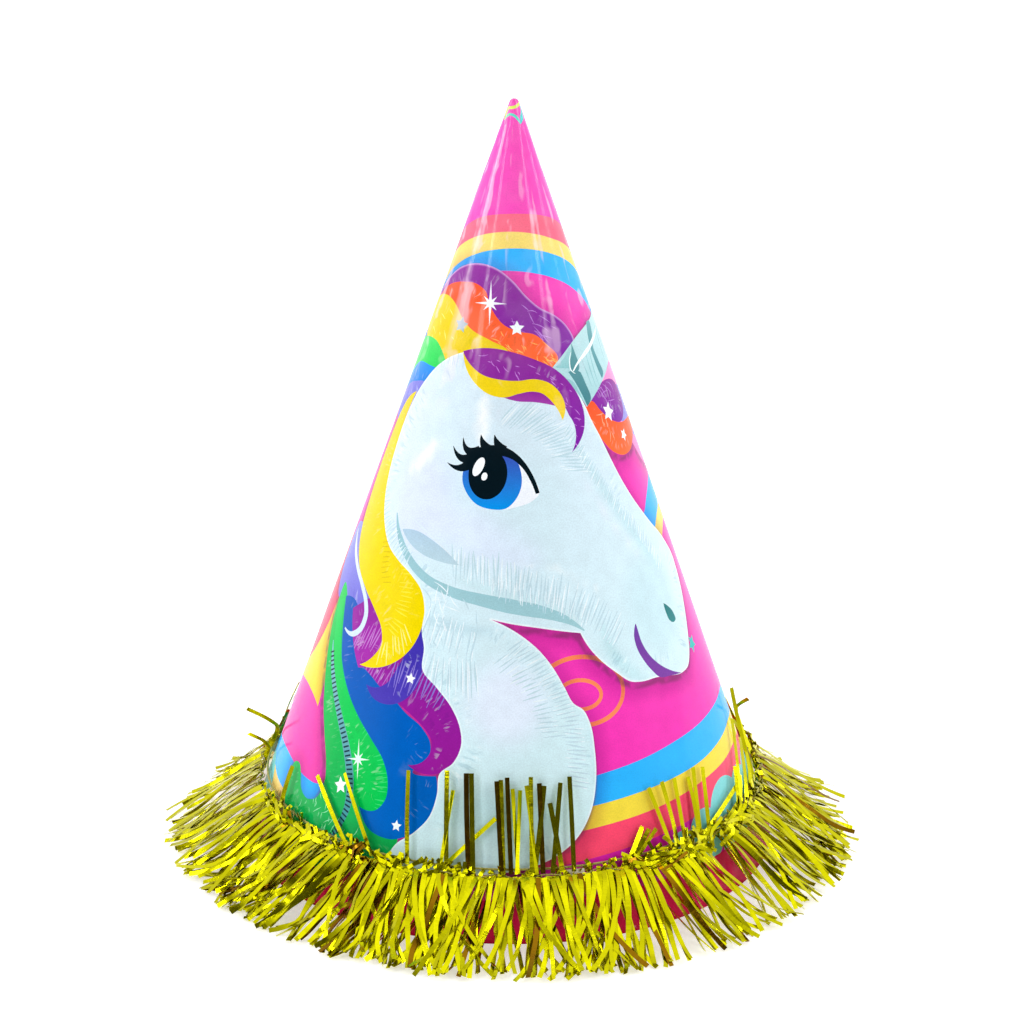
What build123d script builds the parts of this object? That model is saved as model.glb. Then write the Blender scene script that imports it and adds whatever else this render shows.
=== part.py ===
from build123d import *
import os
from math import atan2, cos, radians, sin, tan

# Cone party hat: a printed card cone, rolled, lapped and glued down the back, with a foil
# tinsel fringe glued round it just above the rim.
#
# Millimetres. +Z runs from the open rim to the tip, and the origin is the centre of the rim.
# The printed front faces -Y and the lapped seam runs up the back, on +Y.
# A bearing is an angle in degrees about Z from the front, positive towards +X.
# A slant is a distance down the slope from the apex of the straight sides.
# A height is a distance off the outer face of the card, square to the slope.

# ---- the card cone ----
RIM_RADIUS = 60.0
APEX_HEIGHT = 176.5
CARD_THICKNESS = 0.4
TIP_ROUNDING = 1.2
HALF_ANGLE = atan2(RIM_RADIUS, APEX_HEIGHT)

# ---- the lapped seam at the back ----
SEAM_BEARING = 180.0
LAP_ARC = 12.0
LAP_STEP_ARC = 1.2
LAP_TOP_SLANT = 12.0
BLANK_END_GAP_ARC = 0.3
BLANK_END_SETBACK_ARC = 0.6
GLUE_THICKNESS = 0.15
LAP_HEIGHT = GLUE_THICKNESS + CARD_THICKNESS
SLIP = 0.01
CUT_MARGIN = 1.0

# ---- die-cut slits that take the elastic, one on each side ----
SLIT_LENGTH = 4.0
SLIT_WIDTH = 0.5
SLIT_SLANT = 177.0
SLIT_CUT_DEPTH = 4.0

# ---- the fringe: a bound heading with strands hanging below it and standing above it ----
HEADING_TOP_SLANT = 169.5
HEADING_BOTTOM_SLANT = 173.5
HEADING_UNDERSIDE = 1.1
HEADING_THICKNESS = 1.8
HEADING_CORNER = 0.7
THREAD_RADIUS = 0.25
INNER_THREAD_SLANT = 169.95
GLUE_DOT_TOP_SLANT = 170.6
GLUE_DOT_BOTTOM_SLANT = 173.2
GLUE_DOT_ARC = 4.0
GLUE_DOT_COUNT = 12

TUFT_COUNT = 24
TUFT_GAP_ARC = 1.6
TUFT_TIP_RADIUS = 80.0
TUFT_TIP_THICKNESS = 0.9
TUFT_FOOT_WIDTH = 4.5
TUFT_BULGE = 1.2
TUFT_START_SLANT = HEADING_BOTTOM_SLANT + 0.1

STRAND_TOP_SLANT = 149.0
STRAND_BOTTOM_SLANT = HEADING_TOP_SLANT - 0.1
STRAND_UNDERSIDE = 0.6
STRAND_THICKNESS = 0.5
# (bearing of the spray's middle, arc that it covers), from the front round both sides
STANDING_SPRAYS = [
    (6.0, 16.0),
    (32.0, 8.0),
    (45.0, 13.0),
    (68.0, 16.0),
    (106.0, 10.0),
    (143.0, 9.0),
    (-152.0, 10.0),
    (-104.0, 12.0),
    (-64.0, 4.0),
    (-43.0, 14.0),
    (-24.0, 3.0),
    (-12.0, 7.0),
]


def wall_point(slant, height):
    """Radius and level of a point at a slant and a height."""
    radius = slant * sin(HALF_ANGLE) + height * cos(HALF_ANGLE)
    level = APEX_HEIGHT - slant * cos(HALF_ANGLE) + height * sin(HALF_ANGLE)
    return radius, level


def rim_point(height):
    """Radius and level of the point at a height that is level with the rim."""
    slant = (APEX_HEIGHT + height * sin(HALF_ANGLE)) / cos(HALF_ANGLE)
    return wall_point(slant, height)


def radial_plane(bearing):
    """Plane through the axis at a bearing, with its X outwards and its Y up."""
    angle = radians(bearing)
    outwards = (sin(angle), -cos(angle), 0)
    across = (-cos(angle), -sin(angle), 0)
    return Plane(origin=(0, 0, 0), x_dir=outwards, z_dir=across)


def layer_profile(top_slant, bottom, low, high):
    """Corners of a layer on the card from one height to another.

    bottom is a slant, or None where the layer runs down to the rim.
    """
    foot_low = rim_point(low) if bottom is None else wall_point(bottom, low)
    foot_high = rim_point(high) if bottom is None else wall_point(bottom, high)
    return [foot_low, foot_high, wall_point(top_slant, high), wall_point(top_slant, low)]


def write(builder, name):
    """Label a finished piece and write its STEP."""
    builder.part.label = name
    export_step(builder.part, f"parts/{name}.step")


os.makedirs("parts", exist_ok=True)

# ---- cone_card: the whole blank, with its ends lapped at the back ----
tip_centre_level = APEX_HEIGHT - TIP_ROUNDING / sin(HALF_ANGLE)
tip_tangent_slant = TIP_ROUNDING / tan(HALF_ANGLE)
tip_inside_radius = TIP_ROUNDING - CARD_THICKNESS
tip_mid_angle = (radians(90) + HALF_ANGLE) / 2
lap_start = SEAM_BEARING - LAP_ARC / 2
lap_end = SEAM_BEARING + LAP_ARC / 2
lap_step_start = lap_end - LAP_STEP_ARC
blank_end_gap_start = lap_step_start - BLANK_END_SETBACK_ARC


def tip_point(radius, angle):
    """Point on the rounded tip, at an angle above the level of its centre."""
    return radius * cos(angle), tip_centre_level + radius * sin(angle)


with BuildPart() as cone_card:
    with BuildSketch(radial_plane(0)):
        with BuildLine():
            outer_side = Line(rim_point(0), wall_point(tip_tangent_slant, 0))
            outer_tip = ThreePointArc(
                outer_side @ 1,
                tip_point(TIP_ROUNDING, tip_mid_angle),
                tip_point(TIP_ROUNDING, radians(90)),
            )
            tip_cut = Line(outer_tip @ 1, tip_point(tip_inside_radius, radians(90)))
            inner_tip = ThreePointArc(
                tip_cut @ 1,
                tip_point(tip_inside_radius, tip_mid_angle),
                wall_point(tip_tangent_slant, -CARD_THICKNESS),
            )
            inner_side = Line(inner_tip @ 1, rim_point(-CARD_THICKNESS))
            Line(inner_side @ 1, outer_side @ 0)
        make_face()
    revolve(axis=Axis.Z)
    # the gap between the covered end of the blank and the lap's step
    with BuildSketch(radial_plane(blank_end_gap_start)):
        with BuildLine():
            Polyline(
                *layer_profile(
                    LAP_TOP_SLANT,
                    APEX_HEIGHT / cos(HALF_ANGLE) + CUT_MARGIN,
                    -CUT_MARGIN,
                    CUT_MARGIN,
                ),
                close=True,
            )
        make_face()
    revolve(axis=Axis.Z, revolution_arc=BLANK_END_GAP_ARC, mode=Mode.SUBTRACT)
    # the lap, on top of the covered end
    with BuildSketch(radial_plane(lap_start)):
        with BuildLine():
            Polyline(
                *layer_profile(LAP_TOP_SLANT, None, GLUE_THICKNESS, LAP_HEIGHT),
                close=True,
            )
        make_face()
    revolve(axis=Axis.Z, revolution_arc=LAP_ARC)
    # the step where the outer end of the blank climbs over the covered end
    with BuildSketch(radial_plane(lap_step_start)):
        with BuildLine():
            Polyline(
                *layer_profile(LAP_TOP_SLANT, None, -CARD_THICKNESS / 2, LAP_HEIGHT),
                close=True,
            )
        make_face()
    revolve(axis=Axis.Z, revolution_arc=LAP_STEP_ARC)
    slit_radius, slit_level = wall_point(SLIT_SLANT, 0)
    with Locations((slit_radius, 0, slit_level), (-slit_radius, 0, slit_level)):
        Box(SLIT_CUT_DEPTH, SLIT_LENGTH, SLIT_WIDTH, mode=Mode.SUBTRACT)
write(cone_card, "cone_card")

# ---- seam_glue: the film that holds the lap down ----
with BuildPart() as seam_glue:
    with BuildSketch(radial_plane(lap_start)):
        with BuildLine():
            Polyline(
                *layer_profile(LAP_TOP_SLANT, None, SLIP, GLUE_THICKNESS - SLIP),
                close=True,
            )
        make_face()
    revolve(axis=Axis.Z, revolution_arc=blank_end_gap_start - lap_start)
write(seam_glue, "seam_glue")

# ---- glue_dots: what holds the heading to the card ----
glue_dot_bearings = [
    (number + 0.5) * 360 / GLUE_DOT_COUNT for number in range(GLUE_DOT_COUNT)
]
with BuildPart() as glue_dots:
    for bearing in glue_dot_bearings:
        with BuildSketch(radial_plane(bearing - GLUE_DOT_ARC / 2)):
            with BuildLine():
                Polyline(
                    *layer_profile(
                        GLUE_DOT_TOP_SLANT,
                        GLUE_DOT_BOTTOM_SLANT,
                        SLIP,
                        HEADING_UNDERSIDE - SLIP,
                    ),
                    close=True,
                )
            make_face()
        revolve(axis=Axis.Z, revolution_arc=GLUE_DOT_ARC)
write(glue_dots, "glue_dots")

# ---- foil_heading: the bound band that every strand comes out of ----
heading_corners = layer_profile(
    HEADING_TOP_SLANT,
    HEADING_BOTTOM_SLANT,
    HEADING_UNDERSIDE,
    HEADING_UNDERSIDE + HEADING_THICKNESS,
)
with BuildPart() as foil_heading:
    with BuildSketch(radial_plane(0)) as heading_section:
        with BuildLine():
            Polyline(*heading_corners, close=True)
        make_face()
        fillet(heading_section.vertices(), radius=HEADING_CORNER)
    revolve(axis=Axis.Z)
write(foil_heading, "foil_heading")

# ---- the two binding threads, one under the heading and one over it ----
outer_thread_slant = (HEADING_TOP_SLANT + HEADING_BOTTOM_SLANT) / 2
outer_thread_height = HEADING_UNDERSIDE + HEADING_THICKNESS + THREAD_RADIUS + SLIP
inner_thread_height = HEADING_UNDERSIDE - THREAD_RADIUS - SLIP
thread_places = {
    "binding_thread_inner": wall_point(INNER_THREAD_SLANT, inner_thread_height),
    "binding_thread_outer": wall_point(outer_thread_slant, outer_thread_height),
}
for name, place in thread_places.items():
    with BuildPart() as binding_thread:
        with BuildSketch(radial_plane(0)):
            with Locations(place):
                Circle(THREAD_RADIUS)
        revolve(axis=Axis.Z)
    write(binding_thread, name)

# ---- fringe_tuft_NN: the strands that hang from the heading and splay out to the floor ----
tuft_pitch = 360 / TUFT_COUNT
tuft_under = wall_point(TUFT_START_SLANT, HEADING_UNDERSIDE)
tuft_over = wall_point(TUFT_START_SLANT, HEADING_UNDERSIDE + HEADING_THICKNESS)
tuft_tip = (TUFT_TIP_RADIUS, TUFT_TIP_THICKNESS)
tuft_crown = (
    (tuft_over[0] + tuft_tip[0]) / 2 + TUFT_BULGE * cos(HALF_ANGLE),
    (tuft_over[1] + tuft_tip[1]) / 2 + TUFT_BULGE,
)
for number in range(TUFT_COUNT):
    with BuildPart() as fringe_tuft:
        with BuildSketch(radial_plane(number * tuft_pitch + TUFT_GAP_ARC / 2)):
            with BuildLine():
                ThreePointArc(tuft_over, tuft_crown, tuft_tip)
                Polyline(
                    tuft_tip,
                    (TUFT_TIP_RADIUS, 0),
                    (TUFT_TIP_RADIUS - TUFT_FOOT_WIDTH, 0),
                    tuft_under,
                    tuft_over,
                )
            make_face()
        revolve(axis=Axis.Z, revolution_arc=tuft_pitch - TUFT_GAP_ARC)
    write(fringe_tuft, f"fringe_tuft_{number + 1:02d}")

# ---- standing_strands_NN: the strands that stand up from the heading, close to the card ----
for number, (middle, arc) in enumerate(STANDING_SPRAYS, start=1):
    with BuildPart() as standing_strands:
        with BuildSketch(radial_plane(middle - arc / 2)):
            with BuildLine():
                Polyline(
                    *layer_profile(
                        STRAND_TOP_SLANT,
                        STRAND_BOTTOM_SLANT,
                        STRAND_UNDERSIDE,
                        STRAND_UNDERSIDE + STRAND_THICKNESS,
                    ),
                    close=True,
                )
            make_face()
        revolve(axis=Axis.Z, revolution_arc=arc)
    write(standing_strands, f"standing_strands_{number:02d}")
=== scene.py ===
import math
from collections import namedtuple

import bpy
import numpy as np
from mathutils import Euler, Matrix, Vector
from mathutils.geometry import delaunay_2d_cdt
from mathutils.kdtree import KDTree


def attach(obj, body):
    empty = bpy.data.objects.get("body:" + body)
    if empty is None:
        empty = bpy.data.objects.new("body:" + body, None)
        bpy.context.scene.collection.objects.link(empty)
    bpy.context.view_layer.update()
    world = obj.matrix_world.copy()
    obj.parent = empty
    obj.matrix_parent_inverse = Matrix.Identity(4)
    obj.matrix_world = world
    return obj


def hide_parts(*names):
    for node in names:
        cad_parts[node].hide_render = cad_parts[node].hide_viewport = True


# Cone party hat of printed card with a foil tinsel fringe. Its sizes are those of the CAD model:
# +Z up the cone, the printed front faces -Y, the lapped seam is on +Y.
# Lengths in this script are in millimetres until mesh_object turns them into metres. Only the
# camera, the lights, the floor and the depths of the bump maps are in metres.
# A bearing is an angle about Z from the front, positive towards +X.

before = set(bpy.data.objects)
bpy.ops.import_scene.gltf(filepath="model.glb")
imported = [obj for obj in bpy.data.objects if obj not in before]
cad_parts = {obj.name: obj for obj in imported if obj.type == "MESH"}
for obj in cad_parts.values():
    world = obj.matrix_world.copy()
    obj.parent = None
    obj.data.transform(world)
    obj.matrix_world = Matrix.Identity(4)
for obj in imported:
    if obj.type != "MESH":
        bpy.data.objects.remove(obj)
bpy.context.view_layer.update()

MM = 0.001
RIM_RADIUS = 60.0
APEX_HEIGHT = 176.5
CARD_THICKNESS = 0.4
TIP_ROUNDING = 1.2
HALF_ANGLE = math.atan2(RIM_RADIUS, APEX_HEIGHT)
SIN, COS = math.sin(HALF_ANGLE), math.cos(HALF_ANGLE)
RIM_SLANT = APEX_HEIGHT / COS
LAP_HEIGHT = 0.55

# ---------------------------------------------------------------------------------------
# The print, drawn on the flat card blank in millimetres. x runs across the front and d runs
# down from the point where the straight sides would meet, along the middle of the front.

CORNER = True
Shape = namedtuple("Shape", "outline ink low_ink host crinkle rim_ink")
EDGE_STEP, COARSE_STEP, FINE_STEP = 0.6, 1.0, 0.25
BRUSH_STEP, ELLIPSE_STEP = 0.5, 0.4
# the blank's ends are at about 60 degrees to both sides, and every band runs on past them
SIDE_ANGLE = 64
# a slant past the rim
BEYOND_RIM = 205
# puckers that a row of them leaves out
MISSING_SHARE = 0.07

HOT_PINK = "f244b6"
TIP_PINK = "f648b8"
MAGENTA = "d923a8"
CORAL = "fa4a6e"
ORANGE = "fb5020"
LEMON = "f4d83c"
SUN = "e6ca00"
SKY = "2eb2fc"
ROYAL = "0053b2"
AQUA = "7fd4d6"
TEAL = "2f8f95"
GREEN = "00c24f"
LIME = "3ddc62"
VIOLET = "7a1aa0"
PURPLE = "8c1c96"
INDIGO = "3a2fa6"
LAVENDER = "7d7bd6"
FACE = "d3e4f0"
FACE_LOW = "ceecf1"
FACE_SHADE = "92bdc9"
PUCKER_SHADE = "bbd7e2"
PUCKER_LIGHT = "e6f2f8"
LEAF = "10c858"
BLACK = "04141c"
IRIS = "0090e8"
IRIS_TOP = "3c42ac"
RING = "ff8a5c"
RIM_RED = "e0185c"


def polar(slant, angle):
    """Point of the blank at a slant, and an angle in degrees from the middle of the front."""
    turn = math.radians(angle)
    return slant * math.sin(turn), slant * math.cos(turn)


def tangents(points, corners, closed):
    """Directions of a smooth curve at its points, or None at a corner or an end."""
    found = []
    count = len(points)
    for i, point in enumerate(points):
        if corners[i] or (not closed and i in (0, count - 1)):
            found.append(None)
            continue
        before, after = point - points[i - 1], points[(i + 1) % count] - point
        length_before, length_after = np.linalg.norm(before), np.linalg.norm(after)
        mean = before / length_before * length_after + after / length_after * length_before
        found.append(mean / (length_before + length_after))
    return found


def smooth(points, closed=True, step=EDGE_STEP):
    """Points every step along the smooth curve through some points. A third value marks a corner."""
    corners = [len(p) > 2 for p in points]
    knots = [np.array(p[:2], float) for p in points]
    turns = tangents(knots, corners, closed)
    line = []
    count = len(knots)
    for i in range(count if closed else count - 1):
        start, end = knots[i], knots[(i + 1) % count]
        span = end - start
        length = np.linalg.norm(span)
        direction = span / length
        leave, arrive = turns[i], turns[(i + 1) % count]
        if leave is None and arrive is None:
            leave = arrive = direction
        elif leave is None:
            leave = 2 * direction - arrive
        elif arrive is None:
            arrive = 2 * direction - leave
        steps = max(2, int(math.ceil(length / step)))
        t = (np.arange(steps) / steps)[:, None]
        line.append(
            start * (2 * t**3 - 3 * t**2 + 1)
            + leave * length * (t**3 - 2 * t**2 + t)
            + end * (3 * t**2 - 2 * t**3)
            + arrive * length * (t**3 - t**2)
        )
    if not closed:
        line.append(knots[-1][None])
    return np.vstack(line)


def brush(points, widths, step=BRUSH_STEP):
    """Outline of a brush stroke along a smooth curve, with its widths spread evenly along it."""
    line = smooth(points, closed=False, step=step)
    along = np.linspace(0, 1, len(line))
    half = np.interp(along, np.linspace(0, 1, len(widths)), widths) / 2
    heading = np.gradient(line, axis=0)
    heading /= np.linalg.norm(heading, axis=1)[:, None]
    across = np.stack([-heading[:, 1], heading[:, 0]], 1) * half[:, None]
    return np.vstack([line + across, (line - across)[::-1]])


def ellipse(x, d, across, down, tilt=0.0, step=ELLIPSE_STEP):
    """Outline of an ellipse from its half sizes, turned by tilt degrees."""
    count = max(12, int(math.pi * (across + down) / step))
    turn = np.linspace(0, 2 * math.pi, count, endpoint=False)
    u, v = across * np.cos(turn), down * np.sin(turn)
    lean = math.radians(tilt)
    return np.stack(
        [x + u * math.cos(lean) - v * math.sin(lean), d + u * math.sin(lean) + v * math.cos(lean)], 1
    )


def patch(points):
    """Outline of a large shape in the background."""
    return smooth(points, step=COARSE_STEP)


def ring(x, d, across, down, width):
    """Outline of an elliptical stroke, open by a hair at its top."""
    turns = np.radians(np.linspace(0.2, 359.8, 22))
    return brush([(x + across * math.sin(a), d - down * math.cos(a)) for a in turns], (width, width))


def hatching(rng, guide, spacing, length, width, lean=90.0, jitter=3.0):
    """Outlines of short tapered strokes set across a guide curve, like puckers across a welded seam."""
    line = smooth(guide, closed=False, step=spacing)
    heading = np.gradient(line, axis=0)
    strokes = []
    for (x, d), (u, v) in zip(line, heading):
        if rng.uniform() < MISSING_SHARE:
            continue
        turn = math.atan2(v, u) + math.radians(lean + rng.normal(0, jitter))
        half = length * rng.uniform(0.36, 0.6)
        shift = rng.normal(0, length * 0.07)
        slide = rng.normal(0, spacing * 0.14)
        reaches = (shift - half, shift, shift + half)
        ends = [(x + slide + r * math.cos(turn), d + r * math.sin(turn)) for r in reaches]
        strokes.append(brush(ends, (0.12, width * rng.uniform(0.7, 1.1), 0.12), 0.8))
    return strokes


def scratches(rng, middle, spread, count, length, angle, width=0.22):
    """Outlines of small bright scratches scattered about a place."""
    strokes = []
    for _ in range(count):
        x, d = middle[0] + rng.normal(0, spread[0]), middle[1] + rng.normal(0, spread[1])
        turn = math.radians(angle + rng.normal(0, 24))
        half = length * rng.uniform(0.25, 0.7)
        bend = rng.normal(0, 0.15) * half
        ends = [
            (x - half * math.cos(turn), d - half * math.sin(turn)),
            (x - bend * math.sin(turn), d + bend * math.cos(turn)),
            (x + half * math.cos(turn), d + half * math.sin(turn)),
        ]
        strokes.append(brush(ends, (0.05, width, 0.05), 0.6))
    return strokes


def star(x, d, radius, tilt=0.0, points=5, waist=0.5):
    """Outline of a star with straight edges."""
    turn = math.radians(tilt) + np.arange(2 * points) * math.pi / points
    reach = np.where(np.arange(2 * points) % 2, radius * waist, radius)
    return np.stack([x + reach * np.sin(turn), d - reach * np.cos(turn)], 1)


def sparkle(x, d, radius, tilt=0.0):
    """Outline of a glint: four long rays and four short ones."""
    turn = math.radians(tilt) + np.arange(16) * math.pi / 8
    reaches = (1.0, 0.16, 0.42, 0.16, 0.75, 0.16, 0.42, 0.16)
    reach = radius * np.array(reaches * 2)
    return np.stack([x + reach * np.sin(turn), d - reach * np.cos(turn)], 1)


def dome(slant, edge):
    """Everything below an edge that runs across the blank and meets both of its ends at a slant."""
    ends = polar(slant, -SIDE_ANGLE), polar(slant, SIDE_ANGLE)
    line = smooth([ends[0], *edge, ends[1]], closed=False, step=COARSE_STEP)
    below = [polar(BEYOND_RIM, angle) for angle in (SIDE_ANGLE, 40, 15, -15, -40, -SIDE_ANGLE)]
    return np.vstack([line, np.array(below)])


def new_layer():
    """An empty list of shapes, and the function that adds one to it."""
    shapes = []

    def add(outline, ink, low_ink=None, crinkle=0.0, rim_ink=None, host=None):
        shapes.append(Shape(outline, ink, low_ink or ink, host, crinkle, rim_ink))

    return shapes, add


def back_shapes():
    """Bands, swirls, clouds and stars behind the figure and round to the seam."""
    shapes, add = new_layer()
    # the rainbow over the head, which droops down both sides
    add(dome(66, [
        (-36, 42), (-22, 33.2), (-10, 28.4), (0, 27.4), (10, 28), (20, 30.6), (36, 41),
    ]), "f96886", CORAL)
    add(dome(71, [
        (-36, 48), (-16, 34), (-10, 32.4), (0, 31.3), (10, 32.6), (20, 34.8), (36, 46),
    ]), "f4d870")
    add(dome(76, [(-34, 52), (-19, 39.5), (-10, 36.3), (0, 34.9), (10, 36), (20, 38.8), (36, 51)]), SKY)
    add(dome(83, [
        (-34, 60), (-19, 43.5), (-10, 40.5), (0, 39.8), (10, 41.3), (20, 44.8), (36, 56),
    ]), "f642b6", "ee34b0")
    # the second rainbow, from behind the nose up round the right side
    add(patch([
        (33, 95, CORNER), (36.3, 92.2), (39, 88.4), (43, 84.6), (50, 80.3), (62, 75), (76, 70),
        (92, 63), (112, 48, CORNER), (150, 78, CORNER), (60, 128, CORNER),
    ]), SKY)
    add(patch([
        (40, 98, CORNER), (41.8, 94.6), (44.6, 91.8), (49, 89), (57, 85.6), (70, 80.4), (84, 74.5),
        (98, 66), (116, 52, CORNER), (156, 84, CORNER), (60, 130, CORNER),
    ]), "eed868")
    add(patch([
        (43, 101, CORNER), (45, 97.2), (48, 94.2), (53, 91.6), (62, 88.6), (75, 83.8), (88, 78),
        (102, 69), (120, 56, CORNER), (190, 96, CORNER), (80, 180, CORNER), (34, 150, CORNER),
    ]), "f240b4", "ee34b0")
    # coral and yellow swirls at the left, and the pink blob below them
    add(patch([
        (-40, 100, CORNER), (-52, 96), (-66, 97), (-80, 95), (-96, 86), (-118, 64, CORNER),
        (-160, 88, CORNER), (-60, 150, CORNER),
    ]), CORAL)
    add(patch([
        (-44, 104, CORNER), (-52.5, 112), (-56, 117), (-61, 121.3), (-70, 124.2), (-82, 120),
        (-96, 108), (-112, 94), (-134, 72, CORNER), (-172, 104, CORNER), (-60, 160, CORNER),
    ]), LEMON)
    add(patch([
        (-40, 138, CORNER), (-49.8, 141), (-51.8, 137.6), (-55, 134.4), (-60, 131.4), (-70, 128.4),
        (-80, 127.2), (-92, 121), (-106, 108), (-120, 96), (-144, 72, CORNER), (-176, 108, CORNER),
        (-60, 165, CORNER),
    ]), "f558b8", "f03aa8")
    # the lower rainbow at the right, round to the seam
    add(patch([
        (10, 152, CORNER), (19, 149.8), (30, 146.8), (40, 143.3), (50, 139.5), (60, 135), (70, 130.6),
        (80, 128.4), (92, 122), (104, 112), (120, 98), (150, 70, CORNER), (190, 106, CORNER),
        (90, 190, CORNER), (0, 195, CORNER),
    ]), SKY)
    add(patch([
        (8, 158, CORNER), (18, 156.5), (30, 153.8), (40, 151), (50, 147.6), (60, 143), (70, 138),
        (80, 134.6), (92, 128.6), (106, 117.5), (122, 103), (153, 74, CORNER), (190, 108, CORNER),
        (90, 190, CORNER), (0, 195, CORNER),
    ]), "f2d944")
    add(patch([
        (6, 163.5, CORNER), (15, 162), (20, 161), (30, 158.7), (40, 155.7), (50, 152), (60, 148),
        (70, 143.4), (80, 140), (92, 134), (108, 122), (124, 107), (156, 78, CORNER),
        (190, 110, CORNER), (90, 190, CORNER), (0, 195, CORNER),
    ]), CORAL)
    add(patch([
        (0, 171.5, CORNER), (15, 168.6), (25, 166.3), (35, 163.6), (45, 160.4), (60, 155), (75, 149),
        (92, 140), (110, 127), (126, 112), (159, 82, CORNER), (190, 114, CORNER), (90, 190, CORNER),
        (0, 195, CORNER),
    ]), MAGENTA)
    # the lower rainbow at the left
    add(patch([
        (-40, 150, CORNER), (-46.8, 152.8), (-50, 153.2), (-54.5, 152), (-60, 149.4), (-65, 146.8),
        (-72, 144), (-80, 141.6), (-92, 136), (-108, 123), (-124, 108), (-156, 78, CORNER),
        (-190, 110, CORNER), (-60, 195, CORNER),
    ]), SKY)
    add(patch([
        (-40, 156, CORNER), (-47.5, 155), (-50, 156.5), (-54, 156.8), (-60, 155.6), (-65, 154.7),
        (-70, 152.4), (-76, 149), (-84, 146.4), (-96, 140), (-112, 127), (-128, 112),
        (-159, 81, CORNER), (-190, 112, CORNER), (-60, 195, CORNER),
    ]), "efd27a")
    add(patch([
        (-50, 168, CORNER), (-60, 165.6), (-65, 164), (-71, 160.8), (-78, 157), (-88, 152), (-100, 145),
        (-114, 133), (-130, 118), (-162, 85, CORNER), (-190, 115, CORNER), (-60, 195, CORNER),
    ]), CORAL)
    # orange rings on the pink
    for x, d, across, down, width in ((16, 131.2, 10.2, 7.5, 1.0), (15.6, 132, 5.0, 3.2, 0.9)):
        add(ring(x, d, across, down, width), RING)
    for x, d in (polar(128, 46), polar(96, -48)):
        add(ring(x, d, 10, 8, 1.1), RING)
        add(ring(x, d, 5, 3.6, 0.9), RING)
    # aqua clouds at the right of the front and at the left edge
    clouds = [
        [
            (43, 167.6, 5.0), (50.5, 164, 6.0), (60.5, 159.5, 8.4), (70, 156, 7.6), (79, 151, 7.0),
            (66, 165, 10), (86, 154, 9),
        ],
        [(-83, 154.5, 9.0), (-92, 147, 8.0), (-76, 160, 4.5), (-100, 146, 8)],
    ]
    # and round the back, by slant and angle
    far_clouds = [
        [(112, 58, 9.0), (119, 54, 7.5), (124, 58, 8.5), (106, 55, 6.0)],
        [(112, -57.8, 9.0), (119, -53, 8.0), (124, -57, 8.5), (106, -55, 6.0)],
        [(170, 57, 9.0), (173, 52, 8.0), (166, 54, 7.0), (176, 47, 6.5)],
        [(170, -57, 9.0), (175, -52, 8.0), (167, -53, 6.0)],
        [(88, 38, 5.5), (92, 42, 6.5), (88, 46, 5.0)],
    ]
    clouds += [[(*polar(slant, angle), radius) for slant, angle, radius in cloud] for cloud in far_clouds]
    for cloud in clouds:
        for x, d, radius in cloud:
            add(ellipse(x, d, radius, radius, step=0.7), AQUA)
    # the strip under the fringe
    upper = [polar(177.0, a) for a in np.arange(-SIDE_ANGLE, SIDE_ANGLE + 1, 2)]
    lower = [polar(BEYOND_RIM, a) for a in np.arange(SIDE_ANGLE, -SIDE_ANGLE - 1, -8)]
    add(np.array(upper + lower), RIM_RED)
    return shapes


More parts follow.
